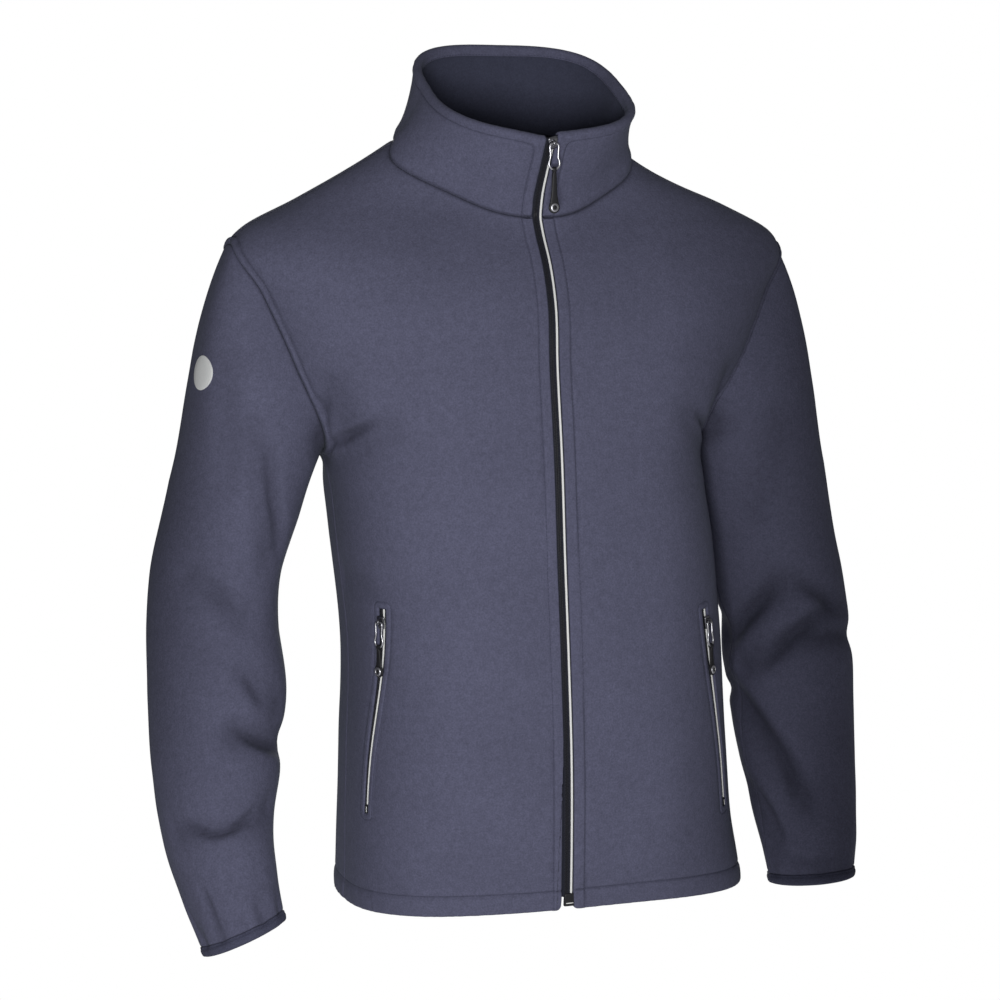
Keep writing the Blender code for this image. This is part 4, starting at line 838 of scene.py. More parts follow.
def sleeve_skin(side, hole_edge, hole_turn):
    """A sleeve down to its cuff, with the row where the binding starts."""
    caps = places(CAP_LENGTH, [], [(0, SEAM_ZONE)])
    arms = places(ARM_LENGTH, [], [(ARM_LENGTH - CUFF_ZONE, ARM_LENGTH)])
    band = places(CUFF_BINDING, [], [(0, CUFF_BINDING)])
    grid = sleeve_grid(side, hole_edge, hole_turn, caps, arms, band)
    turn = hole_turn
    if side > 0:
        grid, turn = grid[:, ::-1], turn[::-1]
    skin = Skin(grid, closed=True)
    to_cuff = (CUFF_SHARE_END - arms[1:]) / CUFF_SHARE_FREE
    free = np.clip(np.concatenate([caps / CAP_ROWS_FREE, to_cuff, np.zeros(len(band) - 1)]), 0, 1)
    skin.press(fold_sleeve(side, skin, turn) * free[:, None], FOLD_SHADE["sleeve"])
    cuff_row = len(caps) + len(arms) - 2
    under = 0 if side < 0 else len(turn) - 1
    hole, hole_along = distance_to_line(skin.grid, round_again(skin.grid[0]))
    seam, seam_along = distance_to_line(skin.grid, skin.grid[:, under])
    end, _ = distance_to_line(skin.grid, round_again(skin.grid[cuff_row]))
    own = smooth(hole / ARM_OWN)
    skin.lift = (undulation(skin.grid, *SLEEVE_WAVE) * own
                 + undulation(skin.grid, *BODY_WAVE) * (1 - own)) * smooth(end / CUFF_STILL)
    detail = (turned(seam, "under_arm") + pucker(hole_along, hole, *SLEEVE_PUCKERS["head"], 7 + side)
              + pucker(seam_along, seam, *SLEEVE_PUCKERS["under"], 8 + side))
    skin.rise = turned(hole, "seam") + detail * smooth(hole / SEAM_CLEAR)
    skin.shade(hole, "armhole")
    skin.shade(seam, "under_arm")
    skin.painted_shade += armpit_shade(skin.grid, [skin.grid[0, np.abs(turn - ARMPIT_TURN).argmin()]])
    down = np.concatenate([np.zeros(cuff_row), band])[:, None]
    for at, width, depth, length in CUFF_GATHERS[side]:
        off = (turn - at + 0.5) % 1 - 0.5
        trough = depth * bell(off * CUFF_GIRTH, width)[None, :] * bell(end, length)
        trough = trough * (1 - GATHER_EASED * smooth(down * 2))
        skin.lift -= trough
        # painted shade in the gathers' troughs
        skin.painted_shade += trough
    skin.rise += turned(end, "cuff") * (down == 0)
    return skin, cuff_row


# ---------------------------------------------------------------- seams between pieces
def seam_ends(name):
    """The edges of a skin's grid that meet others: all of a panel's, else its first row."""
    ends = [(0, slice(None)), (-1, slice(None)), (slice(None), 0), (slice(None), -1)]
    return ends[:1] if name.startswith(("sleeve", "collar")) else ends


def shared_normals(skins, ends_of, part_of):
    """At each point of a seam, one normal for all the parts that meet there."""
    trees = {}
    for name, ends in ends_of.items():
        points, normals = (np.concatenate([values[end] for end in ends])
                           for values in (skins[name].grid, skins[name].normal))
        tree = kdtree.KDTree(len(points))
        for index, point in enumerate(points):
            tree.insert(point, index)
        tree.balance()
        trees[name] = (tree, normals)

    def shared(point):
        parts = {}
        for name, (tree, normals) in trees.items():
            _, index, gap = tree.find(point)
            if gap < SEAM_NEAR:
                parts[part_of[name]] = parts.get(part_of[name], 0) + normals[index]
        return unit(sum(unit(total) for total in parts.values()))

    return {name: [np.array([shared(point) for point in skins[name].grid[end]]) for end in ends]
            for name, ends in ends_of.items()}


def settle_normals(skins, part_of):
    """At a seam all pieces share one normal, which turns to each piece's own a few mm away."""
    ends_of = {name: seam_ends(name) for name in skins}
    found = shared_normals(skins, ends_of, part_of)
    for name, skin in skins.items():
        blended = skin.normal.copy()
        for end, normals in zip(ends_of[name], found[name]):
            lay = (None,) if isinstance(end[0], int) else (slice(None), None)
            away = np.linalg.norm(skin.grid - skin.grid[end][lay], axis=-1, keepdims=True)
            blended += (normals - skin.normal[end])[lay] * bell(away, SEAM_BLEND)
        skin.normal = unit(blended)
        for end, normals in zip(ends_of[name], found[name]):
            skin.normal[end] = normals


# ---------------------------------------------------------------- meshes
def shell(name, outer, inner, closed=False, cut=None, painted_shade=None):
    """A closed wall between an outer and an inner grid. cut holds the cells left open."""
    rows, columns = outer.shape[:2]
    total = rows * columns
    cells = [(r, c) for r in range(rows - 1) for c in range(columns if closed else columns - 1)
             if not cut or (r, c) not in cut]
    faces, edges = [], {}
    for r, c in cells:
        d = (c + 1) % columns
        ring = [r * columns + c, r * columns + d, (r + 1) * columns + d, (r + 1) * columns + c]
        faces.append(ring)
        faces.append([total + i for i in reversed(ring)])
        for a, b in zip(ring, ring[1:] + ring[:1]):
            if not edges.pop((b, a), None):
                edges[a, b] = True
    faces.extend([b, a, total + a, total + b] for a, b in edges)
    points = np.concatenate([outer.reshape(-1, 3), inner.reshape(-1, 3)])
    # only the outer face takes the painted shade
    values = None if painted_shade is None else np.concatenate([painted_shade.ravel(), painted_shade.ravel() * 0])
    return mesh_object(name, points, faces, values)


def mesh_object(name, points, faces, painted_shade=None):
    used = np.unique(np.concatenate([np.array(face) for face in faces]))
    place = np.full(len(points), -1)
    place[used] = np.arange(len(used))
    data = bpy.data.meshes.new(name)
    faces = [[int(place[i]) for i in face] for face in faces]
    data.from_pydata(np.asarray(points)[used].tolist(), [], faces)
    data.update()
    data.shade_smooth()
    # the painted shade goes with the mesh, for the finish to darken by
    if painted_shade is not None:
        layer = data.attributes.new("painted_shade", "FLOAT", "POINT")
        layer.data.foreach_set("value", painted_shade[used].astype(np.float32))
    item = bpy.data.objects.new(name, data)
    bpy.context.scene.collection.objects.link(item)
    return item


def loft_faces(rows, columns, ring=False):
    """Faces round a run of closed sections, with a cap at each end unless it is a ring."""
    faces = []
    for r in range(rows if ring else rows - 1):
        low, high = r * columns, (r + 1) % rows * columns
        faces += [[low + c, high + c, high + (c + 1) % columns, low + (c + 1) % columns]
                  for c in range(columns)]
    if not ring:
        faces += [list(range(columns)), [(rows - 1) * columns + c for c in range(columns)][::-1]]
    return faces


def rods(lines, normals, radii, sides=5, ring=False):
    """Points and faces of round rods along many short lines of points."""
    count, length = lines.shape[:2]
    if ring:
        along = np.roll(lines, -1, axis=1) - np.roll(lines, 1, axis=1)
    else:
        along = np.gradient(lines, axis=1)
    across = unit(np.cross(along, normals))
    up = unit(np.cross(across, along))
    turn = np.arange(sides) * 2 * math.pi / sides
    section = across[:, :, None] * np.cos(turn)[:, None] + up[:, :, None] * np.sin(turn)[:, None]
    radii = np.broadcast_to(radii, length)[:, None, None]
    one = loft_faces(length, sides, ring)
    faces = [[i + k * length * sides for i in face] for k in range(count) for face in one]
    return (lines[:, :, None] + section * radii).reshape(-1, 3), faces


def solid(name, parts, finish, smooth_angle=50):
    """One object of several closed parts, each a set of points and its faces."""
    points, faces, total = [], [], 0
    for part_points, part_faces in parts:
        points.append(np.asarray(part_points).reshape(-1, 3))
        faces += [[i + total for i in face] for face in part_faces]
        total += len(points[-1])
    item = mesh_object(name, np.concatenate(points), faces)
    mesh = bmesh.new()
    mesh.from_mesh(item.data)
    bmesh.ops.recalc_face_normals(mesh, faces=mesh.faces)
    mesh.to_mesh(item.data)
    mesh.free()
    item.data.set_sharp_from_angle(angle=math.radians(smooth_angle))
    item.data.materials.append(FINISH[finish])
    return item


def cloth(name, skin, cut=None, rows=slice(None)):
    outer, inner = skin.outer()[rows], skin.inner()[rows]
    item = shell(name + "_cloth", outer, inner, skin.closed, cut, skin.painted_shade[rows])
    item.data.materials.append(FINISH["fleece"])
    return item


# ---------------------------------------------------------------- finishes
def noise_texture(tree, where, scale, detail, rough):
    texture = tree.nodes.new("ShaderNodeTexNoise")
    texture.inputs["Scale"].default_value = scale
    texture.inputs["Detail"].default_value = detail
    texture.inputs["Roughness"].default_value = rough
    tree.links.new(where.outputs["Object"], texture.inputs["Vector"])
    return texture.outputs["Fac"]


def ramp(tree, source, low, high, out_low, out_high):
    node = tree.nodes.new("ShaderNodeMapRange")
    words = ("From Min", "From Max", "To Min", "To Max")
    for word, value in zip(words, (low, high, out_low, out_high)):
        node.inputs[word].default_value = value
    tree.links.new(source, node.inputs["Value"])
    return node.outputs["Result"]


def times(tree, values):
    total = values[0]
    for value in values[1:]:
        node = tree.nodes.new("ShaderNodeMath")
        node.operation = "MULTIPLY"
        tree.links.new(total, node.inputs[0])
        tree.links.new(value, node.inputs[1])
        total = node.outputs["Value"]
    return total


def make_finish(name, colour, tones, inputs, bump=None, painted_shade=False):
    """A material whose colour varies by noise.

    tones hold each noise's scale, detail, roughness and swing; bump the same first three, then
    its strength and depth.
    """
    made = bpy.data.materials.new(name)
    made.use_nodes = True
    tree = made.node_tree
    shader = tree.nodes["Principled BSDF"]
    where = tree.nodes.new("ShaderNodeTexCoord")
    values = [ramp(tree, noise_texture(tree, where, *look), *NOISE_SPAN, 1 - swing, 1 + swing)
              for *look, swing in tones]
    # The colour darkens by the shade painted into folds, seams and stitches.
    if painted_shade:
        shade_node = tree.nodes.new("ShaderNodeAttribute")
        shade_node.attribute_name = "painted_shade"
        values.append(ramp(tree, shade_node.outputs["Fac"], 0.0, PAINTED_SHADE_FULL, 1.0, PAINTED_SHADE_TONE))
    scale = tree.nodes.new("ShaderNodeVectorMath")
    scale.operation = "SCALE"
    scale.inputs[0].default_value = colour
    tree.links.new(times(tree, values), scale.inputs["Scale"])
    tree.links.new(scale.outputs["Vector"], shader.inputs["Base Color"])
    for word, value in inputs.items():
        shader.inputs[word].default_value = value
    if bump:
        *look, strength, depth = bump
        node = tree.nodes.new("ShaderNodeBump")
        node.inputs["Strength"].default_value = strength
        node.inputs["Distance"].default_value = depth
        tree.links.new(noise_texture(tree, where, *look), node.inputs["Height"])
        tree.links.new(node.outputs["Normal"], shader.inputs["Normal"])
    return made


def fleece_finish(name, colour, nap=1.0):
    """Short brushed nap: a fine speckle, soft clumps, slow changes of tone, painted shade in creases.
    """
    tones = ((620, 2.0, 0.65, 0.17 * nap), (170, 2.0, 0.5, 0.07 * nap), (14, 1.0, 0.5, 0.04))
    inputs = {"Roughness": 0.95, "Specular IOR Level": 0.15, "Sheen Weight": 0.02,
              "Sheen Roughness": 0.45, "Sheen Tint": (0.75, 0.95, 1.0, 1)}
    return make_finish(name, colour, tones, inputs, (480, 3.0, 0.6, 0.5 * nap, 0.0006), True)


def plain_finish(name, colour, rough, metallic=0.0, swing=0.0, scale=300, bump_depth=0.0):
    inputs = {"Roughness": rough, "Metallic": metallic, "Specular IOR Level": 0.2}
    bump = (scale, 2.0, 0.5, 0.6, bump_depth) if bump_depth else None
    return make_finish(name, colour, ((scale, 2.0, 0.5, swing),), inputs, bump)


FINISH = {word: plain_finish(word + "_finish", *row) for word, row in PLAIN_FINISHES.items()}
FINISH["fleece"] = fleece_finish("fleece_finish", FLEECE_COLOUR)
FINISH["inside"] = fleece_finish("inside_finish", SHADED_INSIDE_COLOUR, INSIDE_NAP)


# ---------------------------------------------------------------- build
def build_cloth():
    grids, seams = body_parts()
    skins = {}
    for side, word, seed in ((-1, "right", 1), (1, "left", 4)):
        grid, slit = grids["front", side], slit_edge(grids["front", side], side)
        skins["front_" + word] = body_skin(grid[:, ::side], "front", [seams["front", side]], slit, seed)
    back = np.concatenate([grids["back", 1][:, ::-1], grids["back", -1][:, 1:]], axis=1)
    back_seams = []
    for side in (1, -1):
        one = dict(seams["back", side])
        one["hem"] = one["hem"][::side]
        back_seams.append(one)
    skins["back"] = body_skin(back, "back", back_seams, None, 9)
    cuff_rows = {}
    for side, name in ((-1, "sleeve_right"), (1, "sleeve_left")):
        front, behind = seams["front", side]["armhole"], seams["back", side]["armhole"]
        up = lines_up()
        share = (up[index_of(up, SIDE_SHARE):] - SIDE_SHARE) / (1 - SIDE_SHARE)
        hole = np.concatenate([front, behind[::-1][1:-1]])
        turn = np.concatenate([share / 2, 1 - share[::-1][1:-1] / 2])
        skins[name], cuff_rows[name] = sleeve_skin(side, hole, turn)
    neck = np.concatenate([seams["front", -1]["neck"], seams["back", -1]["neck"][::-1][1:],
                           seams["back", 1]["neck"][1:], seams["front", 1]["neck"][::-1][1:]])
    skins["collar_outer"] = collar_skin(neck)
    settle_normals(skins, {name: name.split("_")[0].replace("front", "back") for name in skins})
    return skins, cuff_rows


def collar_skin(neck):
    """The outer collar's skin up to its top edge, left front first."""
    start = math.asin(ZIP_GAP_HALF / COLLAR_TOP["deep"])
    top, around = [], []
    for side in (-1, 1):
        halves = []
        for panel in ("front", "back"):
            across = lines_across(side, panel)
            halves.append(across[:index_of(across, NECK_SHARE) + 1] / NECK_SHARE)
        phi = np.concatenate([start + halves[0] * (QUARTER - start),
                              math.pi - halves[1][::-1][1:] * QUARTER])
        top.append(collar_top(side, phi))
        around.append(phi)
    top, around = (np.concatenate([one, other[::-1][1:]]) for one, other in (top, around))
    rows = places(COLLAR_HEIGHT, [], [(0, NECK_SEAM_ZONE), (COLLAR_HEIGHT - RIM_ZONE, COLLAR_HEIGHT)])
    share = rows[:, None, None]
    grid = neck * (1 - share) + top * share
    waist = np.where(grid[..., :1] > 0, COLLAR_WAIST[1], COLLAR_WAIST[-1])
    grid[..., :2] *= 1 - waist * 4 * share * (1 - share) * np.sin(around)[:, None]
    skin = Skin(grid[:, ::-1])
    base, _ = distance_to_line(skin.grid, skin.grid[0])
    rim, rim_along = distance_to_line(skin.grid, skin.grid[-1])
    ends = np.min([distance_to_line(skin.grid, skin.grid[:, c])[0] for c in (0, -1)], axis=0)
    clear = smooth(base / SEAM_CLEAR)
    border = -np.logaddexp(-(rim + RIM_HIDES) * STITCH_CORNER, -ends * STITCH_CORNER) / STITCH_CORNER
    swell, middle, width = COLLAR_BULGE
    skin.lift = (undulation(skin.grid, *BODY_WAVE) * smooth(ends / STILL) + neck_fill(skin.grid, base)
                 + swell * bell(base - middle, width) * clear)
    detail = skin.sew("collar", border, rim_along, 11, rim=rim) + turned(ends, "collar_end")
    skin.rise = turned(base, "collar_base") + detail * clear
    skin.inner_rise = turned(ends, "collar_end_in")
    skin.slide = over_zip(skin.grid, skin.normal, ends)
    skin.shade(base, "collar")
    return skin


def build_pieces(skins, cuff_rows):
    """The cloth pieces by node name, and the rows of stitches that lie on no skin's field."""
    cuts = {"front_right": pocket_cells(-1), "front_left": pocket_cells(1)}
    made, runs = {}, []
    for name, skin in skins.items():
        if name.startswith("sleeve"):
            row = cuff_rows[name]
            made[name] = cloth(name, skin, rows=slice(0, row + 1))
            binding = name.replace("sleeve", "cuff_binding")
            made[binding], run = build_binding(binding, skin.base()[row:], skin.normal[row:])
        elif name == "collar_outer":
            pieces, run = build_collar(skin)
            made.update(pieces)
        else:
            made[name] = cloth(name, skin, cuts.get(name))
            continue
        runs.append(run)
    return made, runs


def build_binding(name, base, normal):
    """A strip turned double over the sleeve's end, and its row of stitches."""
    share = np.linspace(0, 1, len(base))[:, None, None]
    down, left = share * CUFF_BINDING, (1 - share) * CUFF_BINDING
    proud = BINDING_PROUD + BINDING_BULGE * bulge(share)
    sunk, width = BINDING_SUNK
    proud -= sunk * bell(down - BINDING_STITCH, width)
    outer = base + normal * (proud + turned(left, "binding") + turned(down, "binding_top"))
    inner = base - normal * (BINDING_WALL + turned(left, "binding_in"))
    item = shell(name + "_cloth", outer, inner, True)
    item.data.materials.append(FINISH["binding"])
    row = int(round(BINDING_STITCH / CUFF_BINDING * (len(base) - 1)))
    return item, round_again(np.stack([outer[row], normal[row]], axis=1))


def build_collar(skin):
    """The collar's outer layer, rolled over its top, the inner one, and a row of stitches."""
    base, grid, wall = skin.base() + skin.slide, skin.outer(), skin.inner()
    upward = unit(skin.grid[-1] - skin.grid[-2])
    normal = skin.normal[-1]
    away = unit(normal - upward * (normal * upward).sum(-1, keepdims=True))
    ends = np.min([distance_to_line(skin.grid, skin.grid[:, c])[0] for c in (0, -1)], axis=0)
    curl = -turned(ends, "collar_end")[..., None]
    radius = COLLAR_ROLL - curl[-1]
    centre = grid[-1] - away * radius
    outer, inner = [], []
    for a in np.linspace(0, math.pi, ROLL_STEPS + 1)[1:]:
        out = away * math.cos(a) + upward * math.sin(a)
        outer.append(centre + out * radius)
        inner.append(centre + out * np.maximum(radius - WALL, ROLL_THINNEST))
    over = outer[-1], inner[-1]
    for drop in np.linspace(0, COLLAR_TURN_IN, TURN_IN_STEPS + 1)[1:]:
        outer.append(over[0] - upward * drop)
        inner.append(over[1] - upward * drop)
    # no painted shade over the roll and down inside it
    painted_shade = np.concatenate([skin.painted_shade, np.zeros((len(outer), grid.shape[1]))])
    outside = shell("collar_outer_cloth", np.concatenate([grid, outer]), np.concatenate([wall, inner]),
                    painted_shade=painted_shade)
    own = grid_normals(base, False)
    front = base - own * (COLLAR_LAYERS_APART - curl * CURL_INSIDE)
    face = base - own * (COLLAR_LAYERS_APART + WALL - curl)
    last = outer[-1] - upward * COLLAR_TUCK
    front[-1], face[-1] = last + away * (COLLAR_ROLL + radius - COLLAR_LAYERS_APART), last
    inside = shell("collar_inner_cloth", front, face)
    outside.data.materials.append(FINISH["fleece"])
    inside.data.materials.append(FINISH["inside"])
    run = np.stack([outer[-2], -away], axis=1)
    return {"collar_outer": outside, "collar_inner": inside}, run


# ---------------------------------------------------------------- zips and their pulls
class Strip:
    """A zip's place between two cloth edges, listed from the bottom up, in metres along."""

    def __init__(self, edges, outs):
        rows = np.concatenate([*edges, *outs], axis=1)
        step = np.linalg.norm(np.diff((edges[0] + edges[1]) / 2, axis=0), axis=1)
        run = np.concatenate([[0.0], np.cumsum(step)])
        self.length = run[-1]
        self.run = np.arange(0, self.length, MM)
        even = np.stack([np.interp(self.run, run, column) for column in rows.T], -1)
        spare = 6
        first = even[0] - np.arange(spare, 0, -1)[:, None] * (even[1] - even[0])
        last = even[-1] + np.arange(1, spare + 1)[:, None] * (even[-1] - even[-2])
        padded = np.concatenate([first, even, last])
        weights = np.hanning(2 * STRIP_SOFT + 3)[1:-1]
        weights /= weights.sum()
        soft = [np.convolve(np.pad(column, STRIP_SOFT, "reflect", reflect_type="odd"), weights, "valid")
                for column in padded.T]
        self.rows = np.stack(soft, -1)
        self.run = (np.arange(len(self.rows)) - spare) * MM

    def at(self, along, across, height):
        """Points from metres along and millimetres across and above, and the way out there."""
        along, across, height = np.broadcast_arrays(along, across, height)
        found = np.stack([np.interp(along, self.run, column) for column in self.rows.T], -1)
        left, right, out_left, out_right = (found[..., i:i + 3] for i in (0, 3, 6, 9))
        share = (across / ZIP_WIDTH)[..., None]
        out = unit(out_left * (1 - share) + out_right * share)
        return left + (right - left) * share + out * height[..., None] * MM, out

    def frame(self, along):
        """Axes there as columns: across, into the cloth, and up along the zip."""
        (left, right), (out, _) = self.at(along, np.array([0.0, ZIP_WIDTH]), 0.0)
        across = unit(right - left)
        out = unit(out - across * (out @ across))
        return np.column_stack([across, -out, np.cross(across, -out)])


def rounded_ring(sides, power=4.0):
    """Cosines and sines round a rounded rectangle of half size 1."""
    turn = np.arange(sides) * 2 * math.pi / sides
    return [np.sign(f(turn)) * np.abs(f(turn)) ** (2 / power) for f in (np.cos, np.sin)]


def sections(rows, sides=24, power=4.0):
    """Rounded sections one above another, in metres: x across, y in and z up."""
    cos, sin = rounded_ring(sides, power)
    points = []
    for height, half, back, front in rows:
        deep = (front - back) / 2
        points.append(np.stack([half * cos, -(front + back) / 2 - deep * sin,
                                np.full(sides, height)], -1))
    return np.array(points) * MM, loft_faces(len(rows), sides)


def band(strip, start, end, profile, name, finish):
    """A strip of one section along a zip."""
    along = np.linspace(start, end, max(2, int((end - start) / BAND_STEP)))[:, None]
    across, height = np.array(profile).T
    points, _ = strip.at(along, across[None], height[None])
    return solid(name, [(points, loft_faces(len(points), len(profile)))], finish)


def zip_strip(name, strip, start, end):
    """Tape, coil and piping of one zip, from the bottom to the top."""
    ends = start - TAPE_PAST_CHAIN, end + TAPE_PAST_CHAIN
    made = {name + "_band": band(strip, *ends, TAPE_PROFILE, name + "_tape", "tape")}
    parts = []
    for left, right, shift in COIL_ROWS:
        along = np.arange(start + COIL_ENDS[0], end - COIL_ENDS[1], COIL_PITCH * MM)[:, None]
        across = np.linspace(left, right, len(COIL_RADII))[None]
        points, out = strip.at(along + shift * COIL_PITCH * MM, across, np.array(COIL_HEIGHTS))
        parts.append(rods(points, out, np.array(COIL_RADII) * MM, 6))
    made[""] = solid(name + "_coil", parts, "coil")
    turn = np.linspace(0, math.pi, 9)
    profile = [(PIPING_MIDDLE + PIPING_HALF * math.cos(a),
                PIPING_FOOT + (PIPING_TOP - PIPING_FOOT) * math.sin(a) ** 0.8) for a in turn]
    made[name + "_piping"] = band(strip, start, end, profile, name + "_cord", "piping")
    return made


def placed(part, axes, origin):
    points, faces = part
    return points @ axes.T + origin, faces


def chaikin(points, times):
    """A closed line with its corners rounded off."""
    for _ in range(times):
        after = np.roll(points, -1, axis=0)
        points = np.stack([points * 0.75 + after * 0.25, points * 0.25 + after * 0.75], 1)
        points = points.reshape(-1, points.shape[-1])
    return points


def bail():
    """The bridge on a slider's face that holds the wire."""
    turn = np.linspace(-BAIL_SUNK, math.pi + BAIL_SUNK, 17)
    y = -SLIDER_HALF_THICK - BAIL_LIFT - BAIL_RADIUS * np.sin(turn)
    z = BAIL_ABOVE_MIDDLE + BAIL_RADIUS * np.cos(turn)
    line = np.stack([np.zeros(17), y, z], -1)[None]
    points, faces = rods(line, np.array([1.0, 0, 0]), BAIL_ROD, 8)
    return points * (BAIL_WIDE, 1, 1), faces


def puller(length):
    """A moulded puller below its hinge: an eye, a widening strap, a round end and a stud."""
    radius, thick, wide = EYE_RING
    sides = 28
    turn = np.arange(sides) * 2 * math.pi / sides
    circle = np.stack([0 * turn, radius * np.cos(turn), radius * np.sin(turn)], -1)[None] * MM
    points, faces = rods(circle, np.array([1.0, 0, 0]), thick * MM, 10, True)
    eye = points * (wide, 1, 1), faces
    middle = length - STUD_ABOVE_END
    rows = [(-share * middle, half, -deep, deep) for share, half, deep in TAB_SECTIONS]
    thick, thins_from, least = TAB_END_DEEP
    for a in np.linspace(*TAB_END_SPAN, 14):
        deep = thick * math.cos(max(a - thins_from, 0)) + least
        rows.append((-middle - TAB_END_RADIUS * math.sin(a), TAB_END_RADIUS * math.cos(a), -deep, deep))
    discs = [(np.array([np.stack([r * np.cos(turn), 0 * turn - y, r * np.sin(turn) - middle], -1)
                        for r, y in profile]) * MM, loft_faces(len(profile), sides))
             for profile in (STUD, STUD_CENTRE)]
    return [eye, sections(rows, sides, TAB_POWER), discs[1]], discs[0]


def hang(joint):
    """Axes of a pull's body at rest: across, in and up."""
    hinge, low = (np.array(place["pos_m"]) for place in joint)
    across = -np.array(joint[0]["axis"])
    up = unit(hinge - low)
    return np.column_stack([across, np.cross(up, across), up]), hinge, low


def zip_hardware(name, strip):
    """Slider, wire and puller at the places the joints give; body and solid of each."""
    joints = {joint["name"]: joint for joint in frame["joints"]}
    axes, hinge, low = hang([joints[name + word] for word in ("_wire_swing", "_tab_swing")])
    seat = strip.frame(strip.length - SLIDER_FROM_TOP[name])
    lift = np.array([0, -SLIDER_HALF_THICK - HINGE_LIFT, BAIL_ABOVE_MIDDLE])
    middle = hinge - seat @ lift
    parts = [placed(part, seat, middle) for part in (sections(SLIDER_SECTIONS), bail())]
    slider = solid(name + "_runner", parts, "metal")
    half = np.array(WIRE_SHAPE)
    loop = np.concatenate([half, half[::-1][1:] * (-1, 1)])
    loop = chaikin(loop, 3)
    loop = np.stack([loop[:, 0], np.zeros(len(loop)), loop[:, 1]], -1)[None] * MM
    wire = rods(loop, np.array([0, -1.0, 0]), WIRE_RADIUS * MM, 10, True)
    wire = solid(name + "_loop", [placed(wire, axes, hinge)], "wire")
    strap, stud = puller(TAB_LENGTH[name])
    strap = solid(name + "_puller", [placed(part, axes, low) for part in strap], "puller")
    stud = solid(name + "_stud", [placed(stud, axes, low)], "wire")
    return {"root": [(slider, name + "_slider")], name + "_wire": [(wire, name + "_wire")],
            name + "_tab": [(strap, name + "_tab"), (stud, None)]}


def bar(strip, name, along, across, height, finish):
    """A small rounded bar on a zip: spans along in metres, across and above in millimetres."""
    cos, sin = rounded_ring(16)
    shares, sizes = np.array(BAR_ENDS).T[:, :, None]
    points, _ = strip.at(along[0] + (along[1] - along[0]) * shares,
                         (across[0] + across[1] + (across[1] - across[0]) * cos * sizes) / 2,
                         (height[0] + height[1] + (height[1] - height[0]) * sin * sizes) / 2)
    return solid(name, [(points, loft_faces(len(BAR_ENDS), 16))], finish)


# ---------------------------------------------------------------- sewing
def contour(field, level, points, normals):
    """Lines on a grid where a measured field has one value: their points and normals."""
    above = field > level
    crossing = {}
    for kind, where, down, over in (("row", above[:, 1:] != above[:, :-1], 0, 1),
                                    ("column", above[1:] != above[:-1], 1, 0)):
        for r, c in np.argwhere(where):
            other = (r + down, c + over)
            t = (level - field[r, c]) / (field[other] - field[r, c])
            crossing[kind, r, c] = (points[r, c] * (1 - t) + points[other] * t,
                                    normals[r, c] * (1 - t) + normals[other] * t)
    links = {key: [] for key in crossing}
    for r, c in {(r - d, c) for _, r, c in crossing for d in (0, 1)} | {
            (r, c - d) for _, r, c in crossing for d in (0, 1)}:
        around = (("row", r, c), ("column", r, c), ("row", r + 1, c), ("column", r, c + 1))
        sides = [key for key in around if key in crossing]
        for a, b in zip(sides[::2], sides[1::2]):
            links[a].append(b)
            links[b].append(a)
    waiting, runs = set(crossing), []
    for key in sorted(crossing, key=lambda one: len(links[one])):
        run = []
        while key in waiting:
            waiting.discard(key)
            run.append(crossing[key])
            key = next((one for one in links[key] if one in waiting), None)
        if len(run) > 6:
            runs.append(np.array(run))
    return runs


def stitches(run):
    """Thread along a line of points and normals, each stitch dipping in at its ends."""
    points, normals = run[:, 0], unit(run[:, 1])
    travel = np.concatenate([[0.0], np.cumsum(np.linalg.norm(np.diff(points, axis=0), axis=1))])
    count = int(travel[-1] / STITCH_PITCH)
    offsets, heights, thick = np.array(STITCH_SHAPE).T
    marks = (np.arange(count)[:, None] + 0.5) * STITCH_PITCH + offsets * STITCH_LENGTH
    lines, outs = (np.stack([np.interp(marks, travel, column) for column in values.T], -1)
                   for values in (points, normals))
    return rods(lines + outs * (heights * THREAD)[:, None], outs, thick * THREAD)


def topstitching(skins, runs):
    parts = [stitches(run) for run in runs]
    for skin in skins.values():
        for field, level in skin.sewn:
            parts += [stitches(run) for run in contour(field, level, skin.outer(), skin.normal)]
    return solid("topstitching", parts, "thread")


def badge(sleeve):
    """A plain reflective disc that lies on the sleeve."""
    data = sleeve.data
    tree = bvhtree.BVHTree.FromPolygons([v.co for v in data.vertices],
                                        [p.vertices for p in data.polygons])
    middle, out, _, _ = tree.find_nearest(Vector(BADGE_AT))
    side = out.cross(Vector((0, 0, 1))).normalized()
    up = side.cross(out).normalized()
    turn = np.arange(48) * math.pi / 24
    shares, lift = np.array(BADGE_RINGS).T[:, :, None]
    u, v = BADGE_RADIUS * shares * np.cos(turn), BADGE_RADIUS * shares * np.sin(turn)
    points = np.array(middle) + u[..., None] * np.array(side) + v[..., None] * np.array(up)
    height = [(tree.ray_cast(Vector(p) + out * BADGE_RAY, -out)[0] - Vector(p)).dot(out)
              for p in points.reshape(-1, 3)]
    terms = np.stack([np.ones_like(u), u, v, u * u, u * v, v * v], -1)
    bend = np.linalg.lstsq(terms.reshape(-1, 6), np.array(height), rcond=None)[0]
    bend[3:] *= BADGE_BEND
    points += ((terms @ bend) + lift * MM)[..., None] * np.array(out)
    return solid("sleeve_badge", [(points, loft_faces(len(BADGE_RINGS), len(turn)))], "badge")


def plain_white(tree, kind, source, target):
    """Plain white where it is looked at, and the source's own shade for the light it gives."""
    path = tree.nodes.new("ShaderNodeLightPath")
    white = tree.nodes.new(kind)
    white.inputs["Color"].default_value = (1, 1, 1, 1)
    mix = tree.nodes.new("ShaderNodeMixShader")
    tree.links.new(path.outputs["Is Camera Ray"], mix.inputs[0])
    tree.links.new(source, mix.inputs[1])
    tree.links.new(white.outputs[0], mix.inputs[2])
    tree.links.new(mix.outputs[0], target)


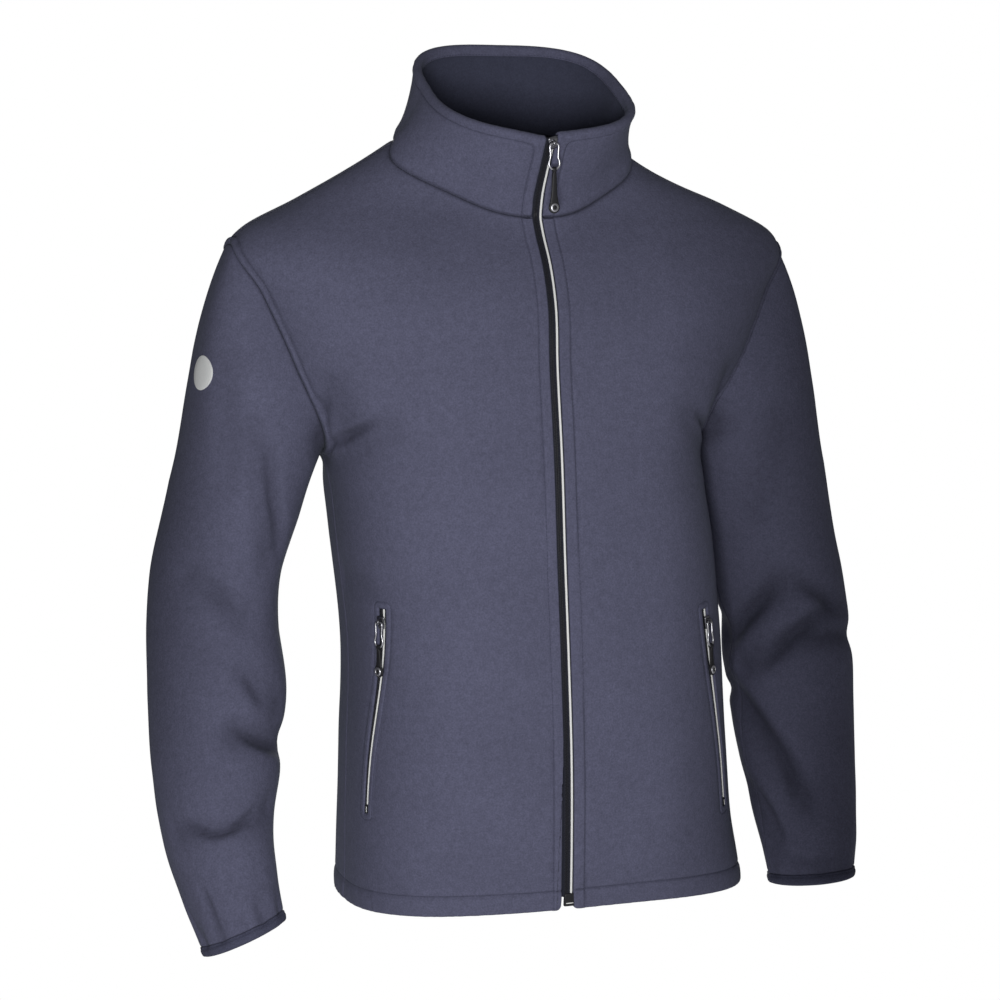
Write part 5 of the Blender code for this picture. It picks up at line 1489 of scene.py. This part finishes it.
def set_stage():
    world = bpy.data.worlds.new("studio")
    bpy.context.scene.world = world
    world.use_nodes = True
    tree = world.node_tree
    room = tree.nodes["Background"]
    room.inputs["Color"].default_value = (1, 1, 1, 1)
    room.inputs["Strength"].default_value = ROOM_LIGHT
    plain_white(tree, "ShaderNodeBackground", room.outputs[0],
                tree.nodes["World Output"].inputs["Surface"])
    corners = [(-FLOOR, -FLOOR, FLOOR_Z), (FLOOR, -FLOOR, FLOOR_Z), (FLOOR, FLOOR, FLOOR_Z),
               (-FLOOR, FLOOR, FLOOR_Z)]
    floor = mesh_object("floor", corners, [[0, 1, 2, 3]])
    tree = FINISH["floor"].node_tree
    plain_white(tree, "ShaderNodeEmission", tree.nodes["Principled BSDF"].outputs[0],
                tree.nodes["Material Output"].inputs["Surface"])
    floor.data.materials.append(FINISH["floor"])
    for turn, up, distance, power, size in LIGHTS:
        light = bpy.data.lights.new("light", "AREA")
        light.energy = power
        light.size = size
        looking_in("light", light, turn, up, distance)
    turn = math.radians(LIGHTS[0][0])
    for x, y, width, low, high in CARDS:
        far = (x + width * math.cos(turn), y + width * math.sin(turn))
        corners = [(x, y, low), (*far, low), (*far, high), (x, y, high)]
        card = mesh_object("card", corners, [[0, 1, 2, 3]])
        card.data.materials.append(FINISH["card"])
        card.visible_camera = card.visible_glossy = card.visible_diffuse = False


def looking_in(name, data, turn, up, distance):
    """An object that looks at the jacket, from a turn and a height in degrees."""
    turn, up = math.radians(turn), math.radians(up)
    away = Vector((math.sin(turn) * math.cos(up), -math.cos(turn) * math.cos(up), math.sin(up)))
    item = bpy.data.objects.new(name, data)
    bpy.context.scene.collection.objects.link(item)
    item.location = AIM + away * distance
    item.rotation_euler = (-away).to_track_quat("-Z", "Y").to_euler()
    return item


def set_camera():
    camera = bpy.data.cameras.new("camera")
    camera.lens = CAMERA_SCALE * CAMERA_DISTANCE * camera.sensor_width
    camera.clip_end = 100
    bpy.context.scene.camera = looking_in("camera", camera, *CAMERA_AT, CAMERA_DISTANCE)
    bpy.context.scene.view_settings.view_transform = "Standard"


def strips(skins):
    """The three zips: their place between the cloth edges, and where each chain starts."""
    collar = skins["collar_outer"]
    edges, outs = [], []
    for name, column in (("front_right", -1), ("front_left", 0)):
        for found, points, rim in ((edges, skins[name].base(), collar.base()),
                                   (outs, skins[name].normal, collar.normal)):
            found.append(np.concatenate([points[:, column], rim[1:, column]]))
    found = {"front_zip": Strip(edges, outs)}
    low, high = pocket_rows()
    for side, word in ((-1, "right"), (1, "left")):
        skin = skins["front_" + word]
        found[word + "_pocket"] = Strip(*([values[low:high + 1, c] for c in pocket_columns(side)]
                                          for values in (skin.base(), skin.normal)))
    return found


def build_zips(skins):
    """Every piece of the zips: the body it rides on and the node it stands for."""
    pieces = {"root": []}
    for name, strip in strips(skins).items():
        front = name == "front_zip"
        start, end = (FRONT_CHAIN if front else POCKET_CHAIN)
        made = zip_strip(name, strip, start, strip.length - end)
        pieces["root"] += [(item, node or None) for node, item in made.items()]
        for body, items in zip_hardware(name, strip).items():
            pieces.setdefault(body, []).extend(items)
        if front:
            foot, _ = strip.at(RETAINER_ALONG, ZIP_WIDTH / 2, RETAINER_HEIGHT)
            shape = sections(RETAINER_SECTIONS, 28, RETAINER_POWER)
            box = solid("front_zip_box", [placed(shape, strip.frame(RETAINER_ALONG), foot)], "puller")
            pieces["root"].append((box, "front_zip_retainer"))
        for kind in ("box_line",) if front else ("stop", "stop_line"):
            pieces["root"].append((bar(strip, name + "_" + kind, *BARS[kind]), None))
    return pieces


def main():
    skins, cuff_rows = build_cloth()
    made, runs = build_pieces(skins, cuff_rows)
    for name, item in made.items():
        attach(item, "root")
        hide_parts(name)
    pieces = build_zips(skins)
    pieces["root"] += [(topstitching(skins, runs), None), (badge(made["sleeve_right"]), None)]
    for body, items in pieces.items():
        for item, node in items:
            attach(item, body)
            if node:
                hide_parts(node)
    set_stage()
    set_camera()


main()
